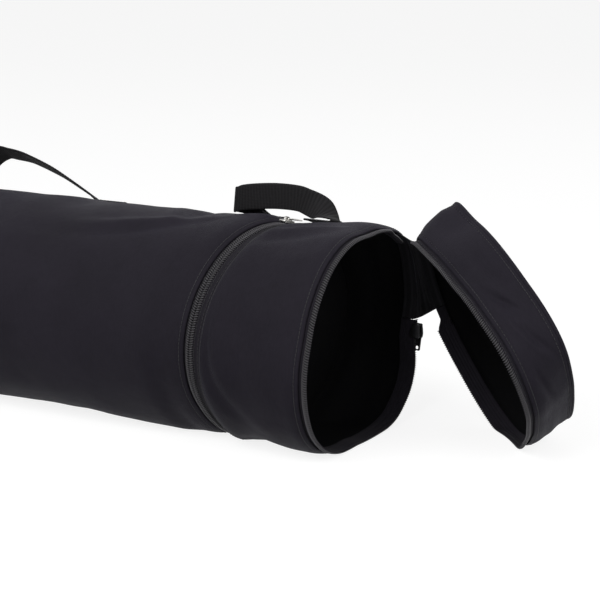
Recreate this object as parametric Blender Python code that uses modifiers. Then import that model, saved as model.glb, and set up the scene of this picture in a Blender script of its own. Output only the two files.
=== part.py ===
import math

import bmesh
import bpy
from mathutils import Matrix, Vector

# Driving dimensions, metres. +X runs along the tube to its mouth, +Z is up,
# and the origin is on the flat resting side, half way along the main sleeve.
tube_radius = 0.080
rest_flat_depth = 0.0025
rest_lift = 0.0003
sleeve_wall = 0.0012
main_length = 0.800
middle_zip_x = 0.3993
mouth_x = 0.482
mouth_lift = 0.001
lid_depth = 0.0423

# Tilt of the two zip planes, as far side and top forward
middle_yaw = 0.200
middle_pitch = 0.0825
mouth_yaw = 0.035
mouth_pitch = 0.0625

# Zips
middle_recess = 0.0050
mouth_recess = 0.0042
middle_tape_radius = tube_radius - middle_recess
mouth_tape_radius = tube_radius - mouth_recess
tape_thickness = 0.0007
tape_reach = 0.0130
tape_half_gap = 0.0009
coil_seat = 0.0003
coil_height = 0.0017
coil_width = 0.0024
coil_half_gap = 0.0007
sleeve_setback = 0.0080
fit_gap = 0.0003

# Sleeve shoulders, how far behind the zip line the cloth is at full radius
shoulder_reach = 0.0200
shoulder_middle = 0.0130
settle_reach = 0.0600
straight_end_x = 0.250

# Hinges: the angle is counted round the tube from the far side over the top
pocket_hinge_angle = math.radians(46.0)
pocket_hinge_half = math.radians(27.0)
lid_hinge_angle = math.radians(26.5)
lid_hinge_half = math.radians(28.0)
lid_hinge_recess = 0.0035
lid_hinge_radius = tube_radius - lid_hinge_recess
lid_skew = math.radians(17.0)
lid_open = math.radians(55.0)
strip_clearance_angle = math.radians(1.0)

# Ends
piping_radius = 0.0017
end_cloth = 0.0015
base_board = 0.0025

# Sliders and pulls
plate_length = 0.0104
plate_half_width = 0.0042
plate_thickness = 0.0012
slider_clearance = 0.0005
blade_half = 0.00035
blade_length = 0.0030
bridge_half_width = 0.0009
bridge_post = 0.0006
bridge_rise = 0.0020
bridge_bar = 0.0007
bridge_span = 0.0034
pull_length = 0.0160
pull_half_width = 0.0025
pull_thickness = 0.0010
pull_window_half = 0.0013
pull_window_length = 0.0048
middle_slider_angle = math.radians(78.5)
end_slider_angle = math.radians(353.0)
slider_park_angle = math.radians(13.0)

# Webbing
webbing_width = 0.0190
webbing_thickness = 0.0016
handle_angle = math.radians(72.0)
handle_back_angle = math.radians(60.0)
handle_left_x = 0.3558
handle_right_x = 0.4440
handle_tail = 0.0220
handle_back_foot_x = 0.3850
handle_back_tail = 0.0140
handle_back_lift = 0.0002
handle_foot_sink = 0.0011
handle_fold_radius = 0.0013
handle_crest_rise = 0.0117
handle_back_reach = 0.0148
strap_angle = math.radians(60.0)
strap_foot_x = 0.2302
strap_tail = 0.0280
strap_crest_rise = 0.0322

ring_steps = 48

axis_height = tube_radius - rest_flat_depth
flat_angle = math.acos(axis_height / tube_radius)


def wipe():
    for item in list(bpy.data.objects):
        bpy.data.objects.remove(item, do_unlink=True)


wipe()
parts = bpy.data.collections.new("gift_wrap_storage_bag")
bpy.context.scene.collection.children.link(parts)
cutters = bpy.data.collections.new("cutters")
bpy.context.scene.collection.children.link(cutters)


def paint(name, color, roughness, metallic=0.0):
    mat = bpy.data.materials.new(name)
    mat.use_nodes = True
    shader = mat.node_tree.nodes["Principled BSDF"]
    shader.inputs["Base Color"].default_value = (*color, 1.0)
    shader.inputs["Roughness"].default_value = roughness
    shader.inputs["Metallic"].default_value = metallic
    return mat


cloth = (0.024, 0.023, 0.028)
cloth_inside = (0.012, 0.012, 0.014)
tape_color = (0.030, 0.030, 0.033)
coil_color = (0.045, 0.045, 0.048)
webbing_color = (0.012, 0.011, 0.013)
metal_color = (0.55, 0.54, 0.52)


def frame_matrix(centre, yaw, pitch):
    normal = Vector((1.0, -math.tan(yaw), -math.tan(pitch))).normalized()
    side = Vector((0.0, 1.0, 0.0))
    side = (side - normal * side.dot(normal)).normalized()
    up = normal.cross(side)
    rows = [[normal[i], side[i], up[i], centre[i]] for i in range(3)]
    rows.append([0.0, 0.0, 0.0, 1.0])
    return Matrix(rows)


middle_frame = frame_matrix((middle_zip_x, 0.0, axis_height), middle_yaw, middle_pitch)
mouth_frame = frame_matrix((mouth_x, 0.0, axis_height + mouth_lift), mouth_yaw, mouth_pitch)
far_x = -main_length / 2
level_frame = frame_matrix((0.0, 0.0, axis_height), 0.0, 0.0)


def place_empty(name, matrix):
    pivot = bpy.data.objects.new(name, None)
    parts.objects.link(pivot)
    pivot.empty_display_size = tube_radius / 4
    pivot.matrix_world = matrix
    return pivot


def tangent_at(frame, angle):
    return frame.to_3x3() @ Vector((0.0, -math.sin(angle), math.cos(angle)))


def point_at(frame, angle, radius, u=0.0):
    return frame @ Vector((u, radius * math.cos(angle), radius * math.sin(angle)))


pocket_origin = point_at(middle_frame, pocket_hinge_angle, middle_tape_radius)
pocket_pivot = place_empty("pocket_pivot", Matrix.Translation(pocket_origin))
lid_origin = point_at(mouth_frame, lid_hinge_angle, lid_hinge_radius)
lid_axis = (
    tangent_at(mouth_frame, lid_hinge_angle) * math.cos(lid_skew)
    + mouth_frame.to_3x3() @ Vector((1.0, 0.0, 0.0)) * math.sin(lid_skew)
).normalized()
lid_turn = Matrix.Rotation(lid_open, 4, lid_axis)
lid_world = Matrix.Translation(lid_origin) @ lid_turn
lid_pivot = place_empty("lid_pivot", lid_world)


def link(name, mesh, mat, parent=None, pivot_origin=None, frame=None):
    body = bpy.data.objects.new(name, mesh)
    mesh.materials.append(mat)
    parts.objects.link(body)
    local = frame.copy() if frame is not None else Matrix.Identity(4)
    if parent is not None:
        body.parent = parent
        local = Matrix.Translation(-pivot_origin) @ local
    body.matrix_local = local
    return body


def round_off(body):
    body.data.shade_smooth()
    body.data.set_sharp_from_angle(angle=math.radians(35.0))


def thicken(body, thickness, offset=-1.0):
    mod = body.modifiers.new("thickness", "SOLIDIFY")
    mod.thickness = thickness
    mod.offset = offset
    mod.use_even_offset = True
    return mod


# Angles round the tube: one facet below, wide and flat or as even as the rest
def ring_angles(even):
    half = math.pi / ring_steps if even else flat_angle
    start = -math.pi / 2 + half
    span = 2 * math.pi - 2 * half
    return [start + span * i / (ring_steps - 1) for i in range(ring_steps)]


def ring_points(frame, u, radius, low, even=False):
    out = []
    for angle in ring_angles(even):
        p = point_at(frame, angle, radius, u)
        p.z = max(p.z, low)
        out.append(p)
    return out


# A frame moved along its own normal, and eased back towards the tube's axis
def eased(frame, u, share):
    moved = frame.copy()
    spot = frame @ Vector((u, 0.0, 0.0))
    moved.translation = spot.lerp(Vector((spot.x, 0.0, frame.translation.z)), share)
    return moved


def loft(name, stations, low, mat, parent=None, pivot_origin=None):
    bm = bmesh.new()
    rows = []
    for frame, u, radius, even in stations:
        rows.append([bm.verts.new(p) for p in ring_points(frame, u, radius, low, even)])
    for near, far in zip(rows, rows[1:]):
        for i in range(ring_steps):
            j = (i + 1) % ring_steps
            bm.faces.new((near[i], near[j], far[j], far[i]))
    bmesh.ops.recalc_face_normals(bm, faces=bm.faces)
    mid = rows[0][ring_steps // 2].co - stations[0][0].translation
    side = bm.faces[ring_steps // 2]
    if side.normal.dot(mid) < 0.0:
        bmesh.ops.reverse_faces(bm, faces=bm.faces)
    mesh = bpy.data.meshes.new(name)
    bm.to_mesh(mesh)
    bm.free()
    body = link(name, mesh, mat, parent, pivot_origin)
    round_off(body)
    thicken(body, sleeve_wall)
    return body


# A band turned about a frame's X axis from one angle to another, thickened inwards
def turned_band(name, frame, profile, start, turn, steps, thickness, mat, parent=None, pivot_origin=None):
    mesh = bpy.data.meshes.new(name)
    verts = [(u, r, 0.0) for u, r in profile]
    mesh.from_pydata(verts, [(i, i + 1) for i in range(len(verts) - 1)], [])
    spun = frame @ Matrix.Rotation(start, 4, "X")
    body = link(name, mesh, mat, parent, pivot_origin, spun)
    screw = body.modifiers.new("turn", "SCREW")
    screw.axis = "X"
    screw.angle = turn
    screw.steps = steps
    screw.render_steps = steps
    screw.merge_threshold = 0.00001
    screw.use_merge_vertices = turn > math.radians(359.0)
    screw.use_normal_calculate = True
    screw.use_normal_flip = False
    thicken(body, thickness)
    return body


def band_steps(turn):
    return max(4, round(ring_steps * turn / (2 * math.pi)))


# Main sleeve
sleeve_start_x = far_x + 2 * piping_radius + fit_gap
middle_edge_radius = middle_tape_radius + fit_gap + sleeve_wall
mouth_edge_radius = mouth_tape_radius + fit_gap + sleeve_wall
middle_drop = tube_radius - middle_edge_radius
mouth_drop = tube_radius - mouth_edge_radius
shoulder_share = 0.55
settle_share = 0.06
ease_share = 0.6

main_stations = [
    (level_frame, sleeve_start_x, tube_radius, False),
    (level_frame, straight_end_x, tube_radius, False),
    (eased(middle_frame, -settle_reach, 1.0), 0.0, tube_radius, True),
    (eased(middle_frame, -shoulder_reach, ease_share), 0.0, tube_radius - settle_share * middle_drop, True),
    (middle_frame, -shoulder_middle, tube_radius - shoulder_share * middle_drop, True),
    (middle_frame, -sleeve_setback, middle_edge_radius, True),
]
loft("main_sleeve", main_stations, 0.0, paint("main_sleeve_cloth", cloth, 0.62))

# Pocket sleeve, from the middle zip to the mouth
pocket_stations = [
    (middle_frame, sleeve_setback, middle_edge_radius, True),
    (middle_frame, shoulder_middle, tube_radius - shoulder_share * middle_drop, True),
    (eased(middle_frame, shoulder_reach, ease_share), 0.0, tube_radius - settle_share * middle_drop, True),
    (eased(mouth_frame, -shoulder_reach, ease_share), 0.0, tube_radius - settle_share * mouth_drop, True),
    (mouth_frame, -shoulder_middle, tube_radius - shoulder_share * mouth_drop, True),
    (mouth_frame, -sleeve_setback, mouth_edge_radius, True),
]
loft(
    "pocket_sleeve",
    pocket_stations,
    rest_lift,
    paint("pocket_sleeve_cloth", cloth, 0.62),
    pocket_pivot,
    pocket_origin,
)


# Zip tapes and coils, arcs that leave the hinge stretch free
def zip_half(prefix, suffix, frame, radius, side, start, turn, parent=None, pivot_origin=None):
    steps = band_steps(turn)
    tape = [(side * tape_half_gap, radius), (side * tape_reach, radius)]
    coil_top = radius + coil_seat + coil_height
    coil = [(side * coil_half_gap, coil_top), (side * (coil_half_gap + coil_width), coil_top)]
    if side < 0:
        tape.reverse()
        coil.reverse()
    tape_name = f"{prefix}_zip_tape{suffix}"
    coil_name = f"{prefix}_zip_coil{suffix}"
    tape_mat = paint(tape_name, tape_color, 0.8)
    coil_mat = paint(coil_name, coil_color, 0.45)
    turned_band(tape_name, frame, tape, start, turn, steps, tape_thickness, tape_mat, parent, pivot_origin)
    turned_band(coil_name, frame, coil, start, turn, steps, coil_height, coil_mat, parent, pivot_origin)


middle_start = pocket_hinge_angle + pocket_hinge_half
middle_turn = 2 * math.pi - 2 * pocket_hinge_half
zip_half("middle", "_main", middle_frame, middle_tape_radius, -1, middle_start, middle_turn)
zip_half(
    "middle", "_pocket", middle_frame, middle_tape_radius, 1, middle_start, middle_turn, pocket_pivot, pocket_origin
)

mouth_start = lid_hinge_angle + lid_hinge_half
mouth_turn = 2 * math.pi - 2 * lid_hinge_half
zip_half("mouth", "", mouth_frame, mouth_tape_radius, -1, mouth_start, mouth_turn, pocket_pivot, pocket_origin)
zip_half(
    "lid", "", mouth_frame, mouth_tape_radius, 1, mouth_start, mouth_turn - slider_park_angle, lid_pivot, lid_origin
)

# Hinge strip at the middle zip, closed at rest
strip_turn = 2 * (pocket_hinge_half - strip_clearance_angle)
turned_band(
    "middle_hinge_strip",
    middle_frame,
    [(-tape_reach, middle_tape_radius), (tape_reach, middle_tape_radius)],
    pocket_hinge_angle - strip_turn / 2,
    strip_turn,
    band_steps(strip_turn),
    tape_thickness,
    paint("middle_hinge_cloth", cloth_inside, 0.85),
)


# Hinge strip at the mouth, a soft sheet from the pocket's edge to the open lid's edge
def lid_hinge_strip():
    closed_to_open = lid_world @ Matrix.Translation(-lid_origin)
    half = lid_hinge_half - strip_clearance_angle
    steps = band_steps(2 * half)
    bm = bmesh.new()
    rows = []
    radius = mouth_tape_radius
    for i in range(steps + 1):
        angle = lid_hinge_angle - half + 2 * half * i / steps
        a = point_at(mouth_frame, angle, radius, -tape_reach)
        b = point_at(mouth_frame, angle, radius, -sleeve_setback / 2)
        d = closed_to_open @ point_at(mouth_frame, angle, radius, sleeve_setback / 2)
        e = closed_to_open @ point_at(mouth_frame, angle, radius, tape_reach)
        rows.append([bm.verts.new(p) for p in (a, b, (b + d) / 2, d, e)])
    for near, far in zip(rows, rows[1:]):
        for k in range(len(near) - 1):
            bm.faces.new((near[k], near[k + 1], far[k + 1], far[k]))
    bmesh.ops.recalc_face_normals(bm, faces=bm.faces)
    bm.faces.ensure_lookup_table()
    outward = rows[0][0].co - mouth_frame.translation
    if bm.faces[0].normal.dot(outward) < 0.0:
        bmesh.ops.reverse_faces(bm, faces=bm.faces)
    mesh = bpy.data.meshes.new("lid_hinge_strip")
    bm.to_mesh(mesh)
    bm.free()
    mat = paint("lid_hinge_cloth", cloth, 0.75)
    body = link("lid_hinge_strip", mesh, mat, pocket_pivot, pocket_origin)
    thicken(body, tape_thickness)


lid_hinge_strip()

# Lid wall
lid_wall_profile = [
    (sleeve_setback, mouth_edge_radius),
    (shoulder_middle, tube_radius - shoulder_share * mouth_drop),
    (shoulder_reach, tube_radius - settle_share * mouth_drop),
    (lid_depth - 2 * piping_radius - fit_gap, tube_radius),
]
wall = turned_band(
    "lid_wall",
    mouth_frame,
    lid_wall_profile,
    -math.pi / 2,
    2 * math.pi,
    ring_steps,
    sleeve_wall,
    paint("lid_wall_cloth", cloth, 0.62),
    lid_pivot,
    lid_origin,
)

piping_path_radius = tube_radius - piping_radius + fit_gap
disc_radius = piping_path_radius - piping_radius - fit_gap


# A round cord along a closed ring, pressed up to a lowest height where it is given
def piping(name, frame, u, low, parent=None, pivot_origin=None):
    data = bpy.data.curves.new(name, "CURVE")
    data.dimensions = "3D"
    data.bevel_depth = piping_radius
    data.bevel_resolution = 1
    spline = data.splines.new("POLY")
    points = [point_at(frame, a, piping_path_radius, u) for a in ring_angles(low is None)]
    spline.points.add(len(points) - 1)
    for slot, p in zip(spline.points, points):
        if low is not None:
            p.z = max(p.z, low)
        slot.co = (*p, 1.0)
    spline.use_cyclic_u = True
    body = bpy.data.objects.new(name, data)
    data.materials.append(paint(name, cloth, 0.55))
    parts.objects.link(body)
    if parent is not None:
        body.parent = parent
        body.matrix_local = Matrix.Translation(-pivot_origin)
    return body


def round_panel(name, frame, u, radius, thickness, mat, parent=None, pivot_origin=None):
    bm = bmesh.new()
    bmesh.ops.create_cone(
        bm, cap_ends=True, segments=ring_steps, radius1=radius, radius2=radius, depth=thickness
    )
    mesh = bpy.data.meshes.new(name)
    bm.to_mesh(mesh)
    bm.free()
    local = frame @ Matrix.Translation((u, 0.0, 0.0)) @ Matrix.Rotation(math.pi / 2, 4, "Y")
    return link(name, mesh, mat, parent, pivot_origin, local)


lid_cord_u = lid_depth - piping_radius
piping("lid_piping", mouth_frame, lid_cord_u, None, lid_pivot, lid_origin)
round_panel(
    "lid_disc", mouth_frame, lid_cord_u, disc_radius, end_cloth, paint("lid_disc_cloth", cloth, 0.62), lid_pivot,
    lid_origin,
)

# Far end
far_cord_x = far_x + piping_radius
cord_low = piping_radius + rest_lift
piping("far_end_piping", level_frame, far_cord_x, cord_low)


def far_end_panel():
    data = bpy.data.curves.new("far_end_disc", "CURVE")
    data.dimensions = "2D"
    data.fill_mode = "BOTH"
    data.extrude = end_cloth / 2
    low = cord_low + piping_radius + fit_gap
    spline = data.splines.new("POLY")
    points = ring_points(level_frame, 0.0, disc_radius, low)
    spline.points.add(len(points) - 1)
    for slot, p in zip(spline.points, points):
        slot.co = (p.y, p.z, 0.0, 1.0)
    spline.use_cyclic_u = True
    body = bpy.data.objects.new("far_end_disc", data)
    data.materials.append(paint("far_end_cloth", cloth, 0.62))
    parts.objects.link(body)
    body.matrix_world = Matrix(
        ((0.0, 0.0, 1.0, far_cord_x), (1.0, 0.0, 0.0, 0.0), (0.0, 1.0, 0.0, 0.0), (0.0, 0.0, 0.0, 1.0))
    )


far_end_panel()

# Pocket base, the stiffened divider just inside the middle zip
base_radius = middle_tape_radius - tape_thickness + fit_gap
base_u = tape_reach + fit_gap + base_board / 2
round_panel(
    "pocket_base",
    middle_frame,
    base_u,
    base_radius,
    base_board,
    paint("pocket_base_cloth", cloth_inside, 0.85),
    pocket_pivot,
    pocket_origin,
)


# A flat strap along a list of points, each with the direction of the strap's width
def strap(name, rows, mat):
    bm = bmesh.new()
    rings = []
    count = len(rows)
    for i in range(count):
        here = rows[i][0]
        before = rows[max(i - 1, 0)][0]
        after = rows[min(i + 1, count - 1)][0]
        along = (after - before).normalized()
        across = rows[i][1]
        across = (across - along * across.dot(along)).normalized()
        face = along.cross(across)
        a = across * (webbing_width / 2)
        f = face * (webbing_thickness / 2)
        rings.append([bm.verts.new(p) for p in (here - a - f, here + a - f, here + a + f, here - a + f)])
    for near, far in zip(rings, rings[1:]):
        for k in range(4):
            m = (k + 1) % 4
            bm.faces.new((near[k], near[m], far[m], far[k]))
    bm.faces.new(rings[0][::-1])
    bm.faces.new(rings[-1])
    bmesh.ops.triangulate(bm, faces=bm.faces)
    bmesh.ops.recalc_face_normals(bm, faces=bm.faces)
    mesh = bpy.data.meshes.new(name)
    bm.to_mesh(mesh)
    bm.free()
    return link(name, mesh, mat)


def smooth_rows(keys, steps):
    out = []
    for i in range(len(keys) - 1):
        p0 = keys[max(i - 1, 0)]
        p1, p2 = keys[i], keys[i + 1]
        p3 = keys[min(i + 2, len(keys) - 1)]
        for s in range(steps):
            t = s / steps
            row = []
            for a, b, c, d in zip(p0, p1, p2, p3):
                row.append(
                    0.5 * ((2 * b) + (c - a) * t + (2 * a - 5 * b + 4 * c - d) * t**2 + (3 * b - a - 3 * c + d) * t**3)
                )
            out.append(row)
    out.append(list(keys[-1]))
    return out


# The folded-under foot: the tail lies on the sleeve and the strap turns back over it
foot_radius = tube_radius + fit_gap + webbing_thickness / 2
fold_lift = webbing_thickness + fit_gap * 2


def foot_rows(x, inward, tail, angle, sink):
    around = Vector((0.0, -math.sin(angle), math.cos(angle)))
    width = -around
    nose = fold_lift / 2
    base = foot_radius - sink

    def at(px, radius):
        return Vector((px, radius * math.cos(angle), axis_height + radius * math.sin(angle)))

    rows = [(at(x + inward * tail, base), width), (at(x + inward * fold_lift, base), width)]
    for k in range(1, 6):
        turn = math.pi * k / 6
        rows.append((at(x + inward * (nose - nose * math.sin(turn)), base + nose * (1 - math.cos(turn))), width))
    rows.append((at(x + inward * fold_lift, base + fold_lift), width))
    return rows


def arch(first, last, keys, steps):
    rows = list(first)
    for row in smooth_rows(keys, steps)[1:-1]:
        rows.append((Vector(row[:3]), Vector(row[3:6]).normalized()))
    rows.extend(reversed(last))
    return rows


def key_of(row):
    return (*row[0], *row[1])


# A foot sewn flat on the sleeve, its tail away from where the strap rises
def flat_rows(x, tail_way, tail, angle, lift=0.0):
    around = Vector((0.0, -math.sin(angle), math.cos(angle)))
    radius = foot_radius + lift

    def at(px):
        return Vector((px, radius * math.cos(angle), axis_height + radius * math.sin(angle)))

    return [(at(x + tail_way * tail), around), (at(x + tail_way * tail / 2), around), (at(x), around)]


# The carry handle stands on edge: behind the crest it lies flat, rises and folds round to the front
def carry_handle():
    left = flat_rows(handle_back_foot_x, 1, handle_back_tail, handle_back_angle, handle_back_lift)
    right = foot_rows(handle_right_x, -1, handle_tail, handle_angle, handle_foot_sink)
    foot_y = right[-1][0].y + handle_foot_sink * math.cos(handle_angle)
    foot_z = right[-1][0].z + handle_foot_sink * math.sin(handle_angle)
    middle_x = (handle_left_x + handle_right_x) / 2
    half = (handle_right_x - handle_left_x) / 2

    # shares of half the handle's length, of the back foot's reach, of the crest's rise
    # and of a right angle that the width leans forward
    def key(along, back, rise, lean):
        tilt = lean * math.pi / 2
        return (
            middle_x + half * along,
            foot_y + handle_back_reach * back,
            foot_z + handle_crest_rise * rise,
            0.0,
            -math.sin(tilt),
            math.cos(tilt),
        )

    back_shares = [(-0.483, 0.865, -0.444, 0.58), (-0.640, 0.709, 0.043, 0.36), (-0.798, 0.500, 0.350, 0.13)]
    fold_share = 0.94
    fold_back_share = 0.385
    fold_rise_share = 0.50
    front_shares = [(-0.798, 0.182, 0.70, 0.0), (-0.427, 0.155, 0.90, 0.0), (-0.085, 0.142, 1.0, 0.0)]
    front_shares += [(0.258, 0.155, 0.966, 0.0), (0.438, 0.169, 0.78, -0.06), (0.663, 0.128, 0.50, -0.39)]
    front_shares += [(0.820, 0.050, 0.215, -0.83)]
    rows = list(left[:-1])
    behind = [key_of(left[-1])] + [key(*row) for row in back_shares]
    behind.append(key(-fold_share, fold_back_share, fold_rise_share, 0.0))
    for row in smooth_rows(behind, 4):
        rows.append((Vector(row[:3]), Vector(row[3:6]).normalized()))
    turn_spot = rows[-1][0] - Vector((0.0, handle_fold_radius, 0.0))
    for k in range(1, 6):
        turn = math.pi * k / 6
        out = Vector((-math.sin(turn), math.cos(turn), 0.0)) * handle_fold_radius
        rows.append((turn_spot + out, rows[-1][1]))
    front_start = turn_spot - Vector((0.0, handle_fold_radius, 0.0))
    front = [key_of((front_start, rows[-1][1]))] + [key(*row) for row in front_shares] + [key_of(right[-1])]
    for row in smooth_rows(front, 4)[:-1]:
        rows.append((Vector(row[:3]), Vector(row[3:6]).normalized()))
    rows.extend(reversed(right))
    strap("carry_handle", rows, paint("carry_handle_webbing", webbing_color, 0.8))


def shoulder_strap():
    left = [(spot, -wide) for spot, wide in flat_rows(-strap_foot_x, -1, strap_tail, strap_angle)]
    right = [(spot, -wide) for spot, wide in flat_rows(strap_foot_x, 1, strap_tail, strap_angle)]
    foot_y = left[-1][0].y
    foot_z = left[-1][0].z
    # shares of the foot's distance from the middle, of the tube's radius behind
    # the foot and of the crest's rise above it, then the width's turn
    half_shares = [(0.983, 0.0, 0.02, 0.0), (0.955, 0.0, 0.14, 0.0), (0.885, 0.0, 0.394, 0.0), (0.823, 0.0, 0.606, 0.0)]
    half_shares += [(0.768, 0.0, 0.755, 0.0), (0.718, 0.0, 0.870, -0.02), (0.678, 0.0, 0.945, -0.05)]
    half_shares += [(0.623, 0.005, 0.99, -0.11), (0.566, 0.025, 0.99, -0.14), (0.472, 0.137, 0.66, -0.16)]
    half_shares += [(0.348, 0.318, -0.115, -0.30), (0.205, 0.453, -1.078, -0.57), (0.082, 0.497, -1.615, -0.80)]
    half_shares += [(0.0, 0.500, -1.730, -0.84)]
    flat = right[-1][1]
    upright = Vector((0.0, 0.0, 1.0))

    def key(sign, along, back, rise, turn):
        w = flat * (1 - abs(turn)) + upright * turn
        w.normalize()
        return (
            sign * strap_foot_x * along,
            foot_y + tube_radius * back,
            foot_z + strap_crest_rise * rise,
            *w,
        )

    keys = [key_of(left[-1])]
    keys += [key(-1, *row) for row in half_shares]
    keys += [key(1, *row) for row in half_shares[-2::-1]]
    keys.append(key_of(right[-1]))
    strap("shoulder_strap", arch(left, right, keys, 4), paint("shoulder_strap_webbing", webbing_color, 0.8))


carry_handle()
shoulder_strap()


# Box between two corners, as a body or as a cutter
def block(low, high):
    bm = bmesh.new()
    bmesh.ops.create_cube(bm, size=1.0)
    size = Vector(high) - Vector(low)
    mid = (Vector(high) + Vector(low)) / 2
    bmesh.ops.scale(bm, vec=size, verts=bm.verts)
    bmesh.ops.translate(bm, vec=mid, verts=bm.verts)
    return bm


def block_object(name, low, high, collection):
    bm = block(low, high)
    mesh = bpy.data.meshes.new(name)
    bm.to_mesh(mesh)
    bm.free()
    body = bpy.data.objects.new(name, mesh)
    collection.objects.link(body)
    body.hide_render = True
    body.display_type = "WIRE"
    return body


def join_block(body, name, low, high, operation):
    tool = block_object(name, low, high, cutters)
    tool.parent = body
    mod = body.modifiers.new(name, "BOOLEAN")
    mod.operation = operation
    mod.object = tool
    mod.solver = "EXACT"


# Slider in its own frame: X across the zip, Y outwards, Z along it; the origin is on the ring's axis
def slider(prefix, frame, radius, angle, parent=None, pivot_origin=None):
    coil_top = radius + coil_seat + coil_height
    under_top = radius - tape_thickness - slider_clearance - fit_gap
    over_base = coil_top + slider_clearance
    over_top = over_base + plate_thickness
    half = plate_length / 2
    eye_top = over_top + bridge_rise
    bar_top = eye_top + bridge_bar
    eye_front = bridge_span / 2
    lap = fit_gap

    def low_high(x, y0, y1, z0, z1):
        return (-x, y0, z0), (x, y1, z1)

    spot = frame @ Matrix.Rotation(angle, 4, "X")
    lo, hi = low_high(plate_half_width, over_base, over_top, -half, half)
    bm = block(lo, hi)
    mesh = bpy.data.meshes.new(f"{prefix}_zip_slider")
    bm.to_mesh(mesh)
    bm.free()
    body = link(f"{prefix}_zip_slider", mesh, paint(f"{prefix}_slider_metal", metal_color, 0.35, 1.0), parent,
                pivot_origin, spot)
    lo, hi = low_high(plate_half_width, under_top - plate_thickness, under_top, -half, half)
    join_block(body, f"{prefix}_under_plate", lo, hi, "UNION")
    lo, hi = low_high(blade_half, under_top - lap, over_base + lap, -half + lap, -half + lap + blade_length)
    join_block(body, f"{prefix}_blade", lo, hi, "UNION")
    lo, hi = low_high(bridge_half_width, over_top - lap, bar_top, -eye_front - bridge_post, eye_front + bridge_post)
    join_block(body, f"{prefix}_bridge", lo, hi, "UNION")
    lo, hi = low_high(bridge_half_width + bridge_post, over_top, eye_top, -eye_front, eye_front)
    join_block(body, f"{prefix}_bridge_eye", lo, hi, "DIFFERENCE")

    # Pull tab, hung by the end bar of its window from the bridge
    pin_radius = over_top + bridge_rise / 2
    pin = frame @ Matrix.Rotation(angle, 4, "X") @ Matrix.Translation((0.0, pin_radius, 0.0))
    half_t = pull_thickness / 2
    low = (-pull_half_width, -half_t, -pull_length + half_t)
    high = (pull_half_width, half_t, half_t)
    bm = block(low, high)
    mesh = bpy.data.meshes.new(f"{prefix}_zip_pull")
    bm.to_mesh(mesh)
    bm.free()
    tab = link(f"{prefix}_zip_pull", mesh, paint(f"{prefix}_pull_metal", metal_color, 0.35, 1.0), parent,
               pivot_origin, pin)
    join_block(
        tab,
        f"{prefix}_pull_window",
        (-pull_window_half, -pull_thickness, -half_t - pull_window_length),
        (pull_window_half, pull_thickness, -half_t),
        "DIFFERENCE",
    )


slider("middle", middle_frame, middle_tape_radius, middle_slider_angle)
slider("end", mouth_frame, mouth_tape_radius, end_slider_angle, pocket_pivot, pocket_origin)

bpy.context.view_layer.update()
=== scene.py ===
import math

import bmesh
import bpy
import numpy as np
from mathutils import Matrix, Vector, noise


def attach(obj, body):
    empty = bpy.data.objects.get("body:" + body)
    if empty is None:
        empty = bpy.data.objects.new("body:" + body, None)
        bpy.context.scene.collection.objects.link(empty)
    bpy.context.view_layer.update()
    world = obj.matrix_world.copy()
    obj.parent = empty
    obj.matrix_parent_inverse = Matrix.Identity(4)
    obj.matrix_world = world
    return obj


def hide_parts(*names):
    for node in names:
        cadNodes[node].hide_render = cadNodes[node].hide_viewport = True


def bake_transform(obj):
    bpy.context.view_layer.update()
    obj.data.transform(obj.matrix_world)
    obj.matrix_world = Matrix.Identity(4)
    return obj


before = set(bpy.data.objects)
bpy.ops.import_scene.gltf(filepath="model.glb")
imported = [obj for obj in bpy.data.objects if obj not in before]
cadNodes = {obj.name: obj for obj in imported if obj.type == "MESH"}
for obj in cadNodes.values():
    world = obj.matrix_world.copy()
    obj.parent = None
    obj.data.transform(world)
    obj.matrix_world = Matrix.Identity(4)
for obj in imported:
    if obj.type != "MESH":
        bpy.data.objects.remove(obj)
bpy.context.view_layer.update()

print("frame loaded:", len(cadNodes), "nodes")

# shared sizes
bag = {
    "radius": 0.080, "axisHeight": 0.0775, "farX": -0.400, "floorLift": 0.0003,
    "middleX": 0.3993, "middleYaw": 0.200, "middlePitch": 0.0825, "middleTape": 0.0750,
    "mouthX": 0.482, "mouthLift": 0.001, "mouthYaw": 0.035, "mouthPitch": 0.0625, "mouthTape": 0.0758,
    "lidDepth": 0.0423, "lidHinge": 26.5, "lidHingeRadius": 0.0765, "lidSkew": 17.0, "lidOpen": 55.0,
    "middleHinge": 46.0, "hingeHalf": 27.0, "lidHingeHalf": 28.0, "park": 13.0,
}


def smooth(low, high, value):
    t = np.clip((np.asarray(value, float) - low) / (high - low), 0.0, 1.0)
    return t * t * (3.0 - 2.0 * t)


def zipFrame(x, lift, yaw, pitch):
    normal = np.array([1.0, -math.tan(yaw), -math.tan(pitch)])
    normal /= np.linalg.norm(normal)
    side = np.array([0.0, 1.0, 0.0]) - normal * normal[1]
    side /= np.linalg.norm(side)
    return {"centre": np.array([x, 0.0, bag["axisHeight"] + lift]), "normal": normal, "side": side,
            "up": np.cross(normal, side)}


level = zipFrame(0.0, 0.0, 0.0, 0.0)
middle = zipFrame(bag["middleX"], 0.0, bag["middleYaw"], bag["middlePitch"])
mouth = zipFrame(bag["mouthX"], bag["mouthLift"], bag["mouthYaw"], bag["mouthPitch"])


# Points of a ring: u along the frame's normal, angle from the far side over the top
def ring(place, u, angle, radius, eased=False):
    u, angle, radius = np.broadcast_arrays(np.asarray(u, float), np.asarray(angle, float), np.asarray(radius, float))
    drift = 1.0 - smooth(0.008, 0.040, np.abs(u)) if eased else np.ones_like(u)
    step = place["normal"] * u[..., None] * drift[..., None]
    step = step + np.array([place["normal"][0], 0.0, 0.0]) * (u * (1.0 - drift))[..., None]
    out = place["side"] * np.cos(angle)[..., None] + place["up"] * np.sin(angle)[..., None]
    return place["centre"] + step + out * radius[..., None]


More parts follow.
